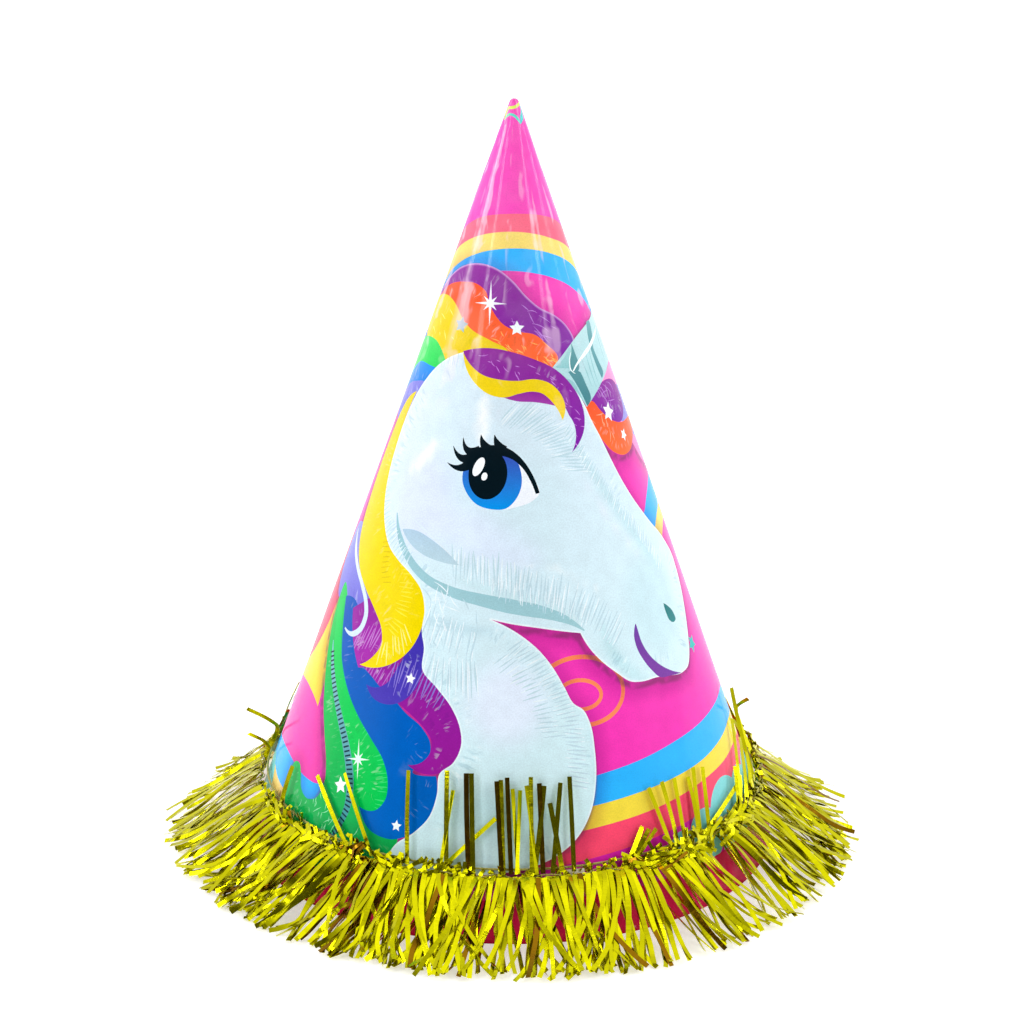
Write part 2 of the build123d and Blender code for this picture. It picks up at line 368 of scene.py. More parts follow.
def figure_shapes():
    """The unicorn: a long coloured mane, a pale head and neck, and a short silver horn."""
    shapes, add = new_layer()
    # --- hair behind the head, from the crown down the left ---
    add(smooth([
        (-24, 44, CORNER), (-18, 40.4), (-14, 38.8), (-10, 38.1), (-6, 38.4), (-3, 39.6), (0, 42),
        (3, 45.3), (6, 47.7), (9.5, 49.2), (13, 51.6), (15, 54.6), (14, 59), (9, 62), (0, 58),
        (-14, 48),
    ]), PURPLE, VIOLET, 0.35, "d9a6e2")
    add(smooth([
        (-25, 46, CORNER), (-18, 42.4), (-12, 42), (-8, 42.7), (-6, 44.3), (-5.2, 46.8), (-3.8, 49.4),
        (-2, 51.4), (1, 52.8), (5, 53.6), (7.6, 55.6), (10.4, 58.6), (9.6, 61), (5, 62), (-4, 60),
        (-16, 52),
    ]), ORANGE, "ff6a30", 0.8)
    add(smooth([
        (-30, 48.5, CORNER), (-24, 44.3), (-20, 44.2), (-16.5, 45.2), (-14, 47.2), (-12, 50),
        (-9.5, 52.4), (-5, 54.8), (-1, 57.2), (-2, 61), (-14, 62), (-24, 56),
    ]), SUN, "e8c800", 0.5)
    add(smooth([
        (-36, 56, CORNER), (-28, 53), (-24, 53.4), (-20, 54.8), (-17.6, 57.2), (-16, 60.6), (-20, 66),
        (-30, 66),
    ]), LIME, GREEN, 0.7)
    add(smooth([
        (-38, 62, CORNER), (-32, 59.8), (-27, 58.8), (-22, 60), (-17, 62), (-20, 68), (-30, 70),
    ]), "1e90ea", ROYAL, 0.8)
    add(smooth([
        (-40, 66, CORNER), (-33, 63.4), (-28, 63.2), (-22, 64.4), (-22, 70), (-30, 74),
    ]), LAVENDER, "6a6acc", 0.8)
    # --- hair at the right of the horn ---
    add(smooth([
        (22, 64, CORNER), (27, 61), (31, 58), (36, 56), (46, 57, CORNER), (58, 74, CORNER), (45, 80),
        (33, 74),
    ]), "f596cc", "f07ac0", 0.3)
    add(smooth([
        (26, 66, CORNER), (34, 63), (42, 62), (50, 62, CORNER), (58, 70, CORNER), (44, 74), (34, 73),
    ]), LAVENDER, "8a86d8", 0.5)
    add(smooth([
        (18, 69, CORNER), (20.5, 65.6), (23, 64), (26, 62.8), (30, 62.4), (33.5, 63.6), (35, 67),
        (33, 70.6), (30, 72.2), (26, 71.8), (22, 70.4),
    ]), PURPLE, VIOLET, 0.8)
    add(smooth([
        (17.2, 69.4, CORNER), (19.6, 67.8), (22.6, 69.9), (26.5, 71.7), (31, 72), (36, 70.6),
        (41, 69, CORNER), (40, 72.6), (37, 75.4), (34, 78), (30, 79.4), (26, 78.8), (22, 76), (19, 73),
    ]), ORANGE, "fb6a30", 0.7)
    # --- the long mane down the left side ---
    add(smooth([
        (-44, 95, CORNER), (-50, 94), (-54, 99), (-55, 105), (-53, 110.4), (-48, 112.4), (-40, 114),
        (-35, 112), (-38, 104),
    ]), "8d8fdc", "6f6ad0", 0.7)
    add(smooth([
        (-50, 108), (-52.4, 114), (-52.6, 121), (-51.8, 128), (-50.6, 135), (-48.6, 142.5),
        (-47.2, 148), (-47.2, 153), (-49.6, 156.3), (-53.4, 156.6), (-56.2, 154.2), (-57, 151),
        (-58.2, 148.9), (-60.8, 148.7), (-62.6, 151), (-63.2, 156), (-62.4, 161), (-60, 165.4),
        (-56, 168.6), (-48, 171.6), (-38, 172), (-30, 170.4), (-25.6, 165), (-28, 156), (-34, 140),
        (-42, 120),
    ]), GREEN, "12a852", 0.5)
    add(smooth([
        (-47.2, 111, CORNER), (-42, 112), (-38, 118), (-33, 125), (-29, 131), (-24, 136.4),
        (-20, 139.4), (-17.8, 143), (-18.6, 147), (-22, 149.2), (-16.4, 150, CORNER), (-16.2, 154),
        (-18, 159), (-21.6, 162.6), (-27, 164.3), (-32, 163), (-38, 150), (-44, 130),
    ]), ROYAL, "0063be", 0.35)
    add(smooth([
        (-47.6, 111.6, CORNER), (-47, 118), (-45, 125), (-41.4, 132), (-37, 138), (-33, 142.6),
        (-29.6, 147), (-28.2, 151.6), (-28.8, 155.8), (-31.4, 158.2), (-34.8, 158), (-37.4, 156),
        (-38.8, 151), (-40.6, 145), (-44, 137), (-47.6, 128), (-50, 119), (-50.2, 112),
    ]), LEAF, GREEN, 0.7)
    fold = [
        (-50.2, 121), (-48.6, 127), (-46, 133), (-43, 139), (-40.4, 145), (-38.9, 151), (-39, 157),
        (-41.4, 162), (-44.6, 165.4),
    ]
    add(brush(fold, (0.3, 1.6, 1.8, 2.2, 2.4, 1.8, 0.4)), "7cb7c4", TEAL)
    fold_line = smooth(fold, closed=False, step=1.15)
    for before, after in zip(fold_line[2:-2], fold_line[3:-1]):
        middle = (before + after) / 2
        way = (after - before) / np.linalg.norm(after - before)
        side = np.array([-way[1], way[0]]) * 0.85
        reach = way * 0.2
        tick = [middle + side - reach, middle + side + reach, middle - side + reach * 2, middle - side]
        add(np.array(tick), "0d3540")
    add(smooth([
        (-42.6, 113.8, CORNER), (-39.6, 112.8), (-35.6, 111.6), (-32.4, 114.8), (-30.6, 119),
        (-31, 123), (-34, 126), (-38.2, 127, CORNER), (-41.2, 120.6),
    ]), PURPLE, "a52aa8", 0.9)
    add(smooth([
        (-37.8, 125.8, CORNER), (-33, 125), (-27, 124), (-25, 127), (-27, 131), (-30, 131.4),
        (-33.4, 129),
    ]), PURPLE, "9a20a0", 0.9)
    add(smooth([
        (-21, 126, CORNER), (-19, 128), (-16, 131.2), (-13, 135), (-11.2, 139), (-10.8, 143),
        (-12.6, 147), (-15.6, 149.3), (-19.4, 149.6), (-23.2, 147.8, CORNER), (-20, 147.2),
        (-17.9, 145), (-17.6, 142.4), (-19.4, 139.6), (-22.6, 136.8), (-27, 133.8, CORNER), (-25, 128),
    ]), PURPLE, "961a96", 0.6)
    add(smooth([
        (-20.4, 117.6, CORNER), (-19.7, 122), (-20, 126.6), (-21.6, 131), (-25, 134), (-29, 134.8),
        (-32.8, 133.6), (-35.2, 130.6, CORNER), (-32, 131.2), (-29, 130), (-26.6, 127), (-24, 123),
        (-22, 119.4),
    ]), INDIGO, "4a3ab0", 0.9)
    add(smooth([
        (-26.4, 65.6, CORNER), (-30.4, 66.6), (-34.4, 69.4), (-38.8, 75), (-42.2, 81), (-44.6, 88),
        (-45.8, 94), (-45, 99.4), (-42.2, 104.8), (-38, 109.6), (-34, 114.2), (-31.4, 118.4),
        (-31.2, 121.6), (-33.6, 124.4), (-37.9, 126.3, CORNER), (-32.8, 126.9), (-27.4, 125.6),
        (-23, 122.4), (-20.6, 118.4), (-19.7, 114), (-20.6, 109.6), (-23.4, 106.2), (-27.2, 103.2),
        (-30.6, 100), (-33, 95), (-34.4, 89), (-34.2, 83), (-32.6, 77), (-30, 71),
    ]), SUN, "ecd400", 0.35)
    add(brush([
        (-49.2, 95.4), (-46.6, 100.6), (-43.2, 104.8), (-40, 108.4), (-37.6, 112.2), (-37.1, 115.6),
        (-38.6, 118.4), (-41.6, 119.6), (-45.2, 118.2),
    ], (0.3, 1.3, 1.2, 1.1, 1.3, 1.5, 1.4, 0.4)), "dfeaf8", "c9dcf2")
    # --- head and neck ---
    add(smooth([
        (-11.2, 57.4), (-14.4, 58.2), (-18.4, 60), (-22.4, 62.8), (-26.4, 66.4), (-30, 71.2),
        (-32.8, 77.4), (-34.3, 83.4), (-34.5, 89), (-33.2, 95), (-30.6, 100), (-27.2, 103.2),
        (-23.4, 106.2), (-20.6, 109.6), (-19.7, 114), (-20.3, 118.4), (-19.7, 122), (-20, 126.8),
        (-16.4, 130.8), (-13, 135), (-11.2, 139), (-10.8, 143), (-12.6, 147), (-15.6, 149.4),
        (-16.2, 154), (-18, 159), (-21.6, 162.6), (-26, 165.4), (-29, 170.6, CORNER), (-18, 171.4),
        (-4, 171.2), (5, 169.6), (11, 166.8), (15.4, 162.8), (18.2, 157.4), (19.3, 151), (19, 144),
        (17.8, 138), (16.2, 135.2), (14.2, 134), (12, 130.4), (9.6, 126.4), (6.4, 122.4), (2, 118.8),
        (-4.4, 115.5, CORNER), (0.4, 116.5), (6, 117.3), (11, 118), (15.6, 118.5, CORNER),
        (17.6, 121.6), (20.6, 124.6), (24.6, 127.4), (28.4, 129.4), (31.4, 129.5), (36, 128.7),
        (41, 128.4), (45.4, 127.8), (48.4, 126.2), (49.8, 123.4), (50.6, 119), (51.4, 113.4),
        (51.9, 108), (51.4, 103.6), (50, 100.6), (47.4, 98.6), (43, 96), (39.6, 94.4), (36, 92.1),
        (32, 88.9), (28, 84.6), (24.8, 80.3), (21.6, 75.4), (19, 71.6), (17.2, 68.4), (13.6, 64.2),
        (9.6, 61.2), (2, 58.4), (-6, 56.8),
    ]), FACE, FACE_LOW, 1.0, "eef8fc")
    # soft folds of the cheek and jaw
    add(brush([
        (-28.8, 92.6), (-27.4, 97.6), (-24.4, 102.4), (-19.6, 106.8), (-13.4, 109.6), (-6, 111.4),
        (1, 112.8), (7.4, 114), (12.4, 115.6), (16.6, 118),
    ], (0.3, 1.6, 1.9, 2.0, 2.3, 2.7, 3.2, 3.0, 2.0, 0.3)), FACE_SHADE, "9cc8d0", 0.5)
    add(smooth([
        (-26.6, 96.2, CORNER), (-22, 96.6), (-17.6, 98.8), (-14, 101.4), (-11.6, 103.8, CORNER),
        (-16.6, 103), (-21, 101.4), (-24.4, 99),
    ]), "a9c5da", "b4d0dc", 0.4)
    # --- eye ---
    add(smooth([
        (-9.6, 86), (-8, 81), (-3, 79), (1.6, 80.4), (4.2, 84), (6, 88.2), (4.6, 89.6), (1, 91),
        (-3, 91.6), (-7.4, 90.2),
    ], step=FINE_STEP), "eff4fc")
    add(smooth([
        (-11, 85.4), (-10.4, 82), (-8, 79.2), (-4, 78.2), (0, 79.4), (1.9, 83), (2.1, 86.4),
        (0.7, 89.6), (-1.2, 91.3), (-4.4, 91.5), (-7.8, 90.4), (-10, 88),
    ], step=FINE_STEP), IRIS_TOP, IRIS)
    add(ellipse(-5.3, 83.9, 4.3, 5.5, 8), BLACK)
    add(brush([
        (-10.2, 82.2), (-8.4, 80.3), (-5.6, 79), (-2.4, 78.8), (0.2, 79.8), (2.4, 81.7), (4.3, 84.6),
        (5.7, 88),
    ], (2.0, 3.0, 2.6, 2.2, 1.5, 1.1, 1.0, 0.9)), BLACK)
    lashes = [
        [(-8.6, 81), (-11.6, 82.6), (-14.7, 81.5)],
        [(-8, 80), (-11.4, 80.4), (-13.3, 77.8)],
        [(-7, 79), (-9.8, 78.8), (-10.9, 76)],
        [(-4.9, 78.8), (-6.2, 77.4), (-6.8, 75.3)],
        [(-1.9, 78.8), (-3.1, 77.4), (-3.8, 75.3)],
    ]
    for lash in lashes:
        add(brush(lash, (2.6, 1.5, 0.1)), BLACK)
    add(ellipse(-7.3, 82.3, 1.05, 2.25, 28), "f4f9ff")
    add(ellipse(-6.0, 84.4, 0.66, 0.92, 20), "f4f9ff")
    # --- nostril and smile ---
    add(smooth([
        (40.4, 112.3, CORNER), (42.4, 113), (44.4, 114.4), (45.1, 115.8), (44, 116.5), (42.3, 116.1),
        (41.2, 114.6),
    ], step=FINE_STEP), "1d7074", "2a8486")
    add(smooth([
        (30.2, 116.8), (29.6, 119), (30.4, 122.2), (32.4, 125), (34.8, 127.2), (37, 128.6), (41, 128.4),
        (45.2, 127.8, CORNER), (41, 127.2), (37.4, 125.9), (34.2, 123.8), (31.8, 120.8), (30.7, 118),
    ], step=FINE_STEP), "6b3a9c", "7c3fa0")
    # --- horn: silver, with darker grooves across it ---
    add(smooth([
        (9, 60.6, CORNER), (10.5, 59), (15.5, 54), (22.5, 49.3), (27, 46.6), (32, 45.4),
        (40, 46, CORNER), (41, 57, CORNER), (35, 57), (30, 58.6), (27, 61), (22.8, 64.6),
        (18, 69.2, CORNER), (16.6, 67.4), (14.6, 65.2), (12, 63),
    ]), "bfe0e4", "a4d0d6", 0.3)
    add(smooth([
        (9.6, 60.6, CORNER), (12, 58.4), (13.6, 56.2), (14.6, 58, CORNER), (14.6, 60.6), (12.4, 60.8),
    ]), "a3d3d4", "8cc4c8")
    add(smooth([
        (14, 55.2, CORNER), (15.2, 57.6), (16.2, 60.8), (14.9, 62, CORNER), (13.2, 60), (13.9, 58),
    ]), "5c9aa0", "4c8b92")
    add(smooth([
        (13, 61.6, CORNER), (15.4, 61.2), (16.6, 61.6, CORNER), (18, 64), (19.4, 67.4),
        (18.2, 69, CORNER), (16.8, 66.6), (15, 64),
    ]), "4d8c94", "3c7c86")
    add(smooth([(12, 63, CORNER), (14.2, 63.6), (16, 66), (17.4, 68.4, CORNER), (15, 65.8)]), "8fc2c8")
    add(smooth([
        (20.2, 50.4, CORNER), (21.6, 49.8), (22.4, 52.6), (22, 55.6), (23.6, 58.4), (25.4, 61.4),
        (24.4, 62.6, CORNER), (22.4, 59.6), (20.8, 56),
    ]), "6ba6ad", "4f8f98")
    add(brush([
        (25.8, 51), (23, 53.4), (20.4, 55.8), (17.6, 58), (15.4, 60), (14.4, 61.4),
    ], (0.3, 0.8, 0.9, 1.0, 0.6, 0.3)), "f4fdff")
    add(brush([(13.9, 57.2), (13.4, 59.4), (13.8, 61.2), (15, 61.9)], (0.1, 0.3, 0.3, 0.1)), "eefbfd")
    for shift in (0, 1.7, 3.2, 6.4, 8.0, 10.4):
        groove = [(24.6 + shift, 49 - 0.1 * shift), (25.6 + shift, 53), (27.4 + shift, 58)]
        add(brush(groove, (0.1, 0.5, 0.1)), "8fc0c8")
    for shift in (0, 1.6, 3.0):
        add(brush([
            (17 + shift, 58.6 - shift), (18.6 + shift, 61.6), (20 + shift, 64.6),
        ], (0.1, 0.4, 0.1)), "8fc3c9")
    # --- forelock ---
    add(smooth([
        (-11.4, 57.2, CORNER), (-8, 56.6), (-4, 56.6), (0, 57.4), (5, 59), (9.6, 61), (13.4, 64),
        (16, 67.4), (17.2, 71), (16.9, 74.4), (15.6, 77), (13.7, 79.1, CORNER), (14.7, 76.4),
        (14.5, 73.4), (13, 71, CORNER), (11, 68), (6, 65), (0, 65), (-6, 64),
    ]), PURPLE, VIOLET, 0.45)
    add(smooth([
        (-2.2, 67.1, CORNER), (1.4, 66), (5, 65.4), (8, 66.6), (9.8, 69, CORNER), (5, 68.2), (1, 68),
    ]), PURPLE, "a33aa6", 0.2)
    add(smooth([
        (-11.4, 57.4, CORNER), (-9.4, 60.2), (-6.4, 62.4), (-3, 63.3), (1, 63.6), (5, 63.2),
        (8.4, 64.1), (11, 66.4), (12.1, 69), (11.4, 72.1, CORNER), (10.3, 69.9), (8.8, 68), (6.4, 66.2),
        (4, 65.9), (1.4, 66.4), (-1.6, 67.2), (-5, 66.6), (-8.2, 64.3), (-10.5, 61),
    ]), SUN, "f2d200", 0.2)
    return shapes


def glint_shapes():
    """Stars and glints printed over everything else."""
    shapes, add = new_layer()
    add(sparkle(-5, 46.8, 5.0, 2), "f4f6ff")
    add(sparkle(-36.6, 147.2, 4.6), "dff6ee")
    stars = [(0.9, 52.2, 1.7, 0), (25.6, 70, 2.3, 8), (31.6, 74.8, 1.5, 20), (-22.9, 128.9, 1.3, 10),
             (-41.6, 153.2, 2.0, -4), (-25.8, 161.3, 1.3, 6), (-55.2, 165.6, 1.4, 0)]
    for x, d, radius, tilt in stars:
        add(star(x, d, radius, tilt), "f1f8fb")
    add(star(-12.2, 51.4, 1.9, 14), "8fb8c0")
    add(star(52.2, 121.2, 2.2, 24), "35b9b6")
    add(star(20.4, 173.2, 2.4, 10), "35b9b6")
    back_stars = [
        (66, 40, 2.6), (78, 34, 1.8), (120, 40, 3.0), (135, 52, 2.2), (150, 38, 2.6), (96, 50, 2.0),
        (146, 56, 2.4), (58, -44, 2.4), (84, -52, 3.0), (112, -42, 2.2), (134, -40, 2.6),
        (144, -52, 2.0), (158, -44, 2.4), (100, -34, 1.8),
    ]
    for slant, angle, radius in back_stars:
        x, d = polar(slant, angle)
        add(star(x, d, radius, slant), "f1f8fb")
    for slant, angle, radius in ((104, 44, 4.6), (72, -56, 4.2), (126, -50, 5.0), (140, 45, 4.4)):
        x, d = polar(slant, angle)
        add(sparkle(x, d, radius, slant), "f4f6ff")
    # the small star drawn in outline at the tip
    add(brush([(-1.6, 4.4), (0.5, 4.2), (1.7, 3.0)], (0.6, 0.7, 0.6)), "d9ef5e")
    add(brush([(1.7, 3.0), (2.0, 4.2), (2.1, 5.6), (1.4, 8.0)], (0.6, 0.6, 1.2, 0.3)), "3fcfd0")
    add(brush([(1.5, 7.8), (0.7, 6.8), (0, 6.2), (-1.1, 5.9)], (0.4, 0.6, 0.6, 0.5)), "52dcc4")
    add(brush([(-1.0, 5.9), (-1.7, 6.2), (-2.7, 7.0)], (0.5, 0.6, 0.3)), "74e0b0")
    add(brush([(-2.6, 6.9), (-2.2, 5.6), (-1.5, 4.5)], (0.3, 0.5, 0.6)), "c6ea66")
    return shapes


def crease_shapes():
    """Fine light and dark strokes: puckers along the figure's welded seams, and scratches of light.

    They are printed only where the shape under them has one of the host colours.
    """
    rng = np.random.default_rng(3)
    shapes, add_one = new_layer()

    def add(outlines, ink, host=(FACE, FACE_SHADE)):
        for outline in outlines:
            add_one(outline, ink, host=host)

    # two rows along the jaw, then the nose, the forehead, the crown and the cheek, and down the neck
    upper_jaw = [(-13, 103), (-9.5, 104), (-1, 106), (9, 109), (15, 111.5), (21.5, 116), (25, 119.4)]
    lower_jaw = [(-4, 108.2), (-1, 109), (7, 111), (13, 113), (17, 115)]
    nose = [(12.6, 74), (17, 80.6), (22.4, 87), (28.6, 93), (36, 98.8), (41.6, 104)]
    brow = [(-1, 70.6), (3, 71.6), (7, 73.6), (11.4, 77.4), (15, 83)]
    crown = [(-34.2, 70), (-30, 64.6), (-24.6, 60.6), (-18.6, 58.8), (-13, 59.2)]
    cheek = [(-35, 76), (-35.6, 84), (-34, 91), (-30, 98), (-24.6, 103)]
    throat = [(1, 121), (5.6, 125.4), (10.4, 131.6), (13.6, 138.6), (15, 146), (15.4, 152)]
    chest = [(-2, 124), (3, 129), (7, 135), (9.4, 141)]
    nape = [(-19.6, 127.2), (-13, 128), (-7.6, 127.6)]
    gullet = [(-19.4, 117), (-14, 119), (-8, 120.6)]
    rows = (
        (upper_jaw, 1.0, 6.6, 0.5, 78), (lower_jaw, 0.95, 4.4, 0.42, 78), (nose, 0.9, 3.0, 0.36, 70),
        (brow, 0.95, 7.0, 0.5, 118), (crown, 1.2, 3.0, 0.4, 90), (cheek, 1.15, 4.2, 0.42, 90),
        (throat, 1.05, 4.4, 0.46, 104), (chest, 1.2, 4.4, 0.4, 104), (nape, 1.2, 8.6, 0.5, 92),
        (gullet, 1.2, 7.0, 0.46, 88),
    )
    for guide, spacing, length, width, lean in rows:
        add(hatching(rng, guide, spacing, length, width, lean), PUCKER_SHADE)
        add(hatching(rng, guide, spacing, length * 0.94, width * 0.85, lean), PUCKER_LIGHT)
    # folds that fan out from the corner of the jaw, and loose scratches on the neck
    for x, d in ((-25, 93), (-27, 96), (-22, 97.4), (-25, 101)):
        add([brush([(-12, 103.4), (x * 0.5 - 6.2, d * 0.5 + 50.8), (x, d)], (0.3, 0.5, 0.1))], "d6e4ee")
    add(scratches(rng, (-17, 113), (3.4, 3.6), 14, 3.8, 78, 0.3), PUCKER_LIGHT)
    add(scratches(rng, (-16, 117), (3.4, 3.6), 12, 3.4, 82, 0.3), PUCKER_SHADE)
    # the coloured hair
    add(hatching(rng, [
        (-25.6, 100), (-24.4, 107), (-25, 113), (-28, 119),
    ], 1.1, 3.6, 0.34), "f4de3a", (SUN,))
    add(hatching(rng, [(-30.6, 90), (-31.4, 99), (-31, 108)], 1.2, 3.0, 0.3), "d2b800", (SUN,))
    add(hatching(rng, [
        (-31.6, 123.4), (-27.6, 122.4), (-23.8, 119.6),
    ], 1.1, 5.0, 0.36, -68), "f8ec86", (SUN,))
    add(hatching(rng, [(-40, 121), (-30.5, 120.4)], 1.05, 6.4, 0.42, -55), "bd78ca", (PURPLE, VIOLET))
    add(hatching(rng, [(-36, 128.4), (-29, 129)], 1.05, 5.0, 0.4, -62), "b269c2", (PURPLE, VIOLET))
    add(hatching(rng, [
        (-27.6, 127.6), (-20, 129.4), (-14, 131.6),
    ], 0.95, 7.4, 0.4, 96), "8676cc", (INDIGO, VIOLET, PURPLE))
    add(hatching(rng, [
        (-30.4, 146), (-29.4, 152), (-30, 158),
    ], 1.1, 3.4, 0.34), "34d270", (GREEN, LEAF))
    add(hatching(rng, [
        (-40, 126), (-37, 134), (-33.6, 141),
    ], 1.2, 4.4, 0.4, 70), "34d270", (GREEN, LEAF))
    for place in ((-4, 60, 4, 2.0), (4, 62, 4, 1.6), (12, 66, 2, 2.6), (14.6, 72, 1, 3)):
        add(scratches(rng, place[:2], place[2:], 9, 1.6, 35), "c078d4", (PURPLE, VIOLET))
    for place in ((-3, 55.6, 3.4, 1.2), (4, 57.4, 3, 1.2), (8, 59, 1.6, 0.8)):
        add(scratches(rng, place[:2], place[2:], 11, 1.8, 35), "ffb45e", (ORANGE,))
    for place in ((3, 50.6, 2.4, 1.4), (8, 53, 2.4, 1.4), (23, 66, 2.4, 2.0), (27, 68, 2.0, 2.0)):
        add(scratches(rng, place[:2], place[2:], 7, 3.2, 30), "b77ad2", (PURPLE, VIOLET))
    add(scratches(rng, (22, 72), (2.4, 1.6), 8, 2.6, 45), "ffb08a", (ORANGE,))
    for place in ((-50, 160, 4, 2.6), (-44, 163, 3.4, 2.2)):
        add(scratches(rng, place[:2], place[2:], 16, 2.2, -60), "8fe4ae", (GREEN, LIME))
    add(scratches(rng, (-21, 52), (5, 3), 14, 1.8, 60), "fff27a", (SUN, LEMON))
    return shapes


def airbrush_marks():
    """Soft light and shade inside the head and neck: outline, tint, feather width and strength."""
    pale, cool, green = "ffffff", "d6dcfb", "a6d4da"
    return [
        (ellipse(-22, 90, 13, 16, 10), cool, 9.0, 0.65),
        (ellipse(-6, 98, 16, 9, 20), "dde6fc", 7.0, 0.6),
        (ellipse(-27, 72, 9, 12, 25), "d6e2fa", 6.0, 0.6),
        (ellipse(-21, 80, 6.6, 2.2, -40), pale, 2.2, 0.75),
        (ellipse(-6.4, 72, 2.2, 6.5, 4), pale, 2.0, 0.7),
        (ellipse(4, 90, 13, 14, 0), "cfe8f0", 8.0, 0.4),
        (brush([(14, 76), (22, 87), (31, 96.4), (40, 104.5)], (2.6, 4.0, 4.4, 3.0)), green, 1.9, 0.4),
        (brush([
            (13, 81), (19, 88.6), (27.4, 97.4), (34, 103),
        ], (1.0, 2.0, 2.0, 1.2)), "f0f0ff", 1.4, 0.4),
        (brush([
            (-1.5, 103), (3, 103.6), (9, 104.2), (15, 106.6), (24, 112),
        ], (0.6, 1.2, 1.4, 1.2, 0.6)), pale, 0.8, 0.4),
        (brush([
            (-12, 106.6), (-2, 110), (8, 112.6), (16, 116),
        ], (3.0, 4.6, 4.6, 3.0)), "b6dadf", 2.0, 0.35),
        (brush([(21, 116), (23, 122), (28, 127), (34, 130)], (3.0, 5.0, 5.0, 3.0)), green, 2.2, 0.45),
        (ellipse(37, 112, 13, 15, -20), "bcdce4", 8.0, 0.5),
        (ellipse(-1, 134, 13, 13, 0), "e6ecff", 9.0, 0.7),
        (brush([(-21, 115), (-12, 117.4), (-3, 118.4)], (3.0, 4.4, 3.0)), "a8ccd8", 2.0, 0.5),
        (ellipse(-2, 158, 17, 9, 0), green, 7.0, 0.35),
        (brush([
            (13, 124), (17.6, 132), (19.6, 142), (19, 152),
        ], (2.0, 4.6, 4.6, 3.0)), "a8d2da", 2.2, 0.55),
    ]


# ---------------------------------------------------------------------------------------
# Materials


# the folds in the film, and the highlight streaks painted along them, fade out between these slants
FILM_FOLD_SLANTS = (44, 80)


def linear(hex_colour):
    """Linear colour with alpha from an sRGB hex string."""
    values = [int(hex_colour[i : i + 2], 16) / 255 for i in (0, 2, 4)]
    return tuple(v / 12.92 if v <= 0.04045 else ((v + 0.055) / 1.055) ** 2.4 for v in values) + (1.0,)


class Nodes:
    """A material's node tree, with one short call for each kind of node."""

    def __init__(self, name):
        self.material = bpy.data.materials.new(name)
        self.material.use_nodes = True
        self.tree = self.material.node_tree
        self.shader = self.tree.nodes["Principled BSDF"]

    def add(self, kind, **settings):
        node = self.tree.nodes.new(kind)
        for key, value in settings.items():
            setattr(node, key, value)
        return node

    def put(self, socket, value):
        if isinstance(value, bpy.types.NodeSocket):
            self.tree.links.new(value, socket)
        else:
            socket.default_value = value

    def attribute(self, name, output="Fac"):
        return self.add("ShaderNodeAttribute", attribute_name=name).outputs[output]

    def math(self, operation, a, b):
        node = self.add("ShaderNodeMath", operation=operation)
        for socket, value in zip(node.inputs, (a, b)):
            self.put(socket, value)
        return node.outputs[0]

    def times(self, a, b):
        return self.math("MULTIPLY", a, b)

    def plus(self, a, b):
        return self.math("ADD", a, b)

    def fade(self, value, start, end, low=0.0, high=1.0):
        """low up to start, high from end on, and a smooth step between."""
        node = self.add("ShaderNodeMapRange", interpolation_type="SMOOTHSTEP")
        for socket, item in zip(node.inputs, (value, start, end, low, high)):
            self.put(socket, item)
        return node.outputs[0]

    def vector(self, x, y, z=0.0):
        node = self.add("ShaderNodeCombineXYZ")
        for socket, value in zip(node.inputs, (x, y, z)):
            self.put(socket, value)
        return node.outputs[0]

    def place(self):
        """Position on the object, in metres."""
        return self.add("ShaderNodeTexCoord").outputs["Object"]

    def noise(self, where, scale, detail=2.0, roughness=0.5):
        node = self.add("ShaderNodeTexNoise")
        self.put(node.inputs["Vector"], where)
        for name, value in (("Scale", scale), ("Detail", detail), ("Roughness", roughness)):
            node.inputs[name].default_value = value
        return node.outputs["Fac"]

    def mix(self, factor, a, b, blend="MIX"):
        node = self.add("ShaderNodeMix", data_type="RGBA", blend_type=blend)
        self.put(node.inputs["Factor"], factor)
        self.put(node.inputs["A"], a)
        self.put(node.inputs["B"], b)
        return node.outputs["Result"]

    def bump(self, height, strength, distance):
        node = self.add("ShaderNodeBump")
        node.inputs["Strength"].default_value = strength
        node.inputs["Distance"].default_value = distance
        self.put(node.inputs["Height"], height)
        self.put(self.shader.inputs["Normal"], node.outputs["Normal"])

    def finish(self, **sockets):
        for name, value in sockets.items():
            self.put(self.shader.inputs[name.replace("_", " ")], value)
        return self.material


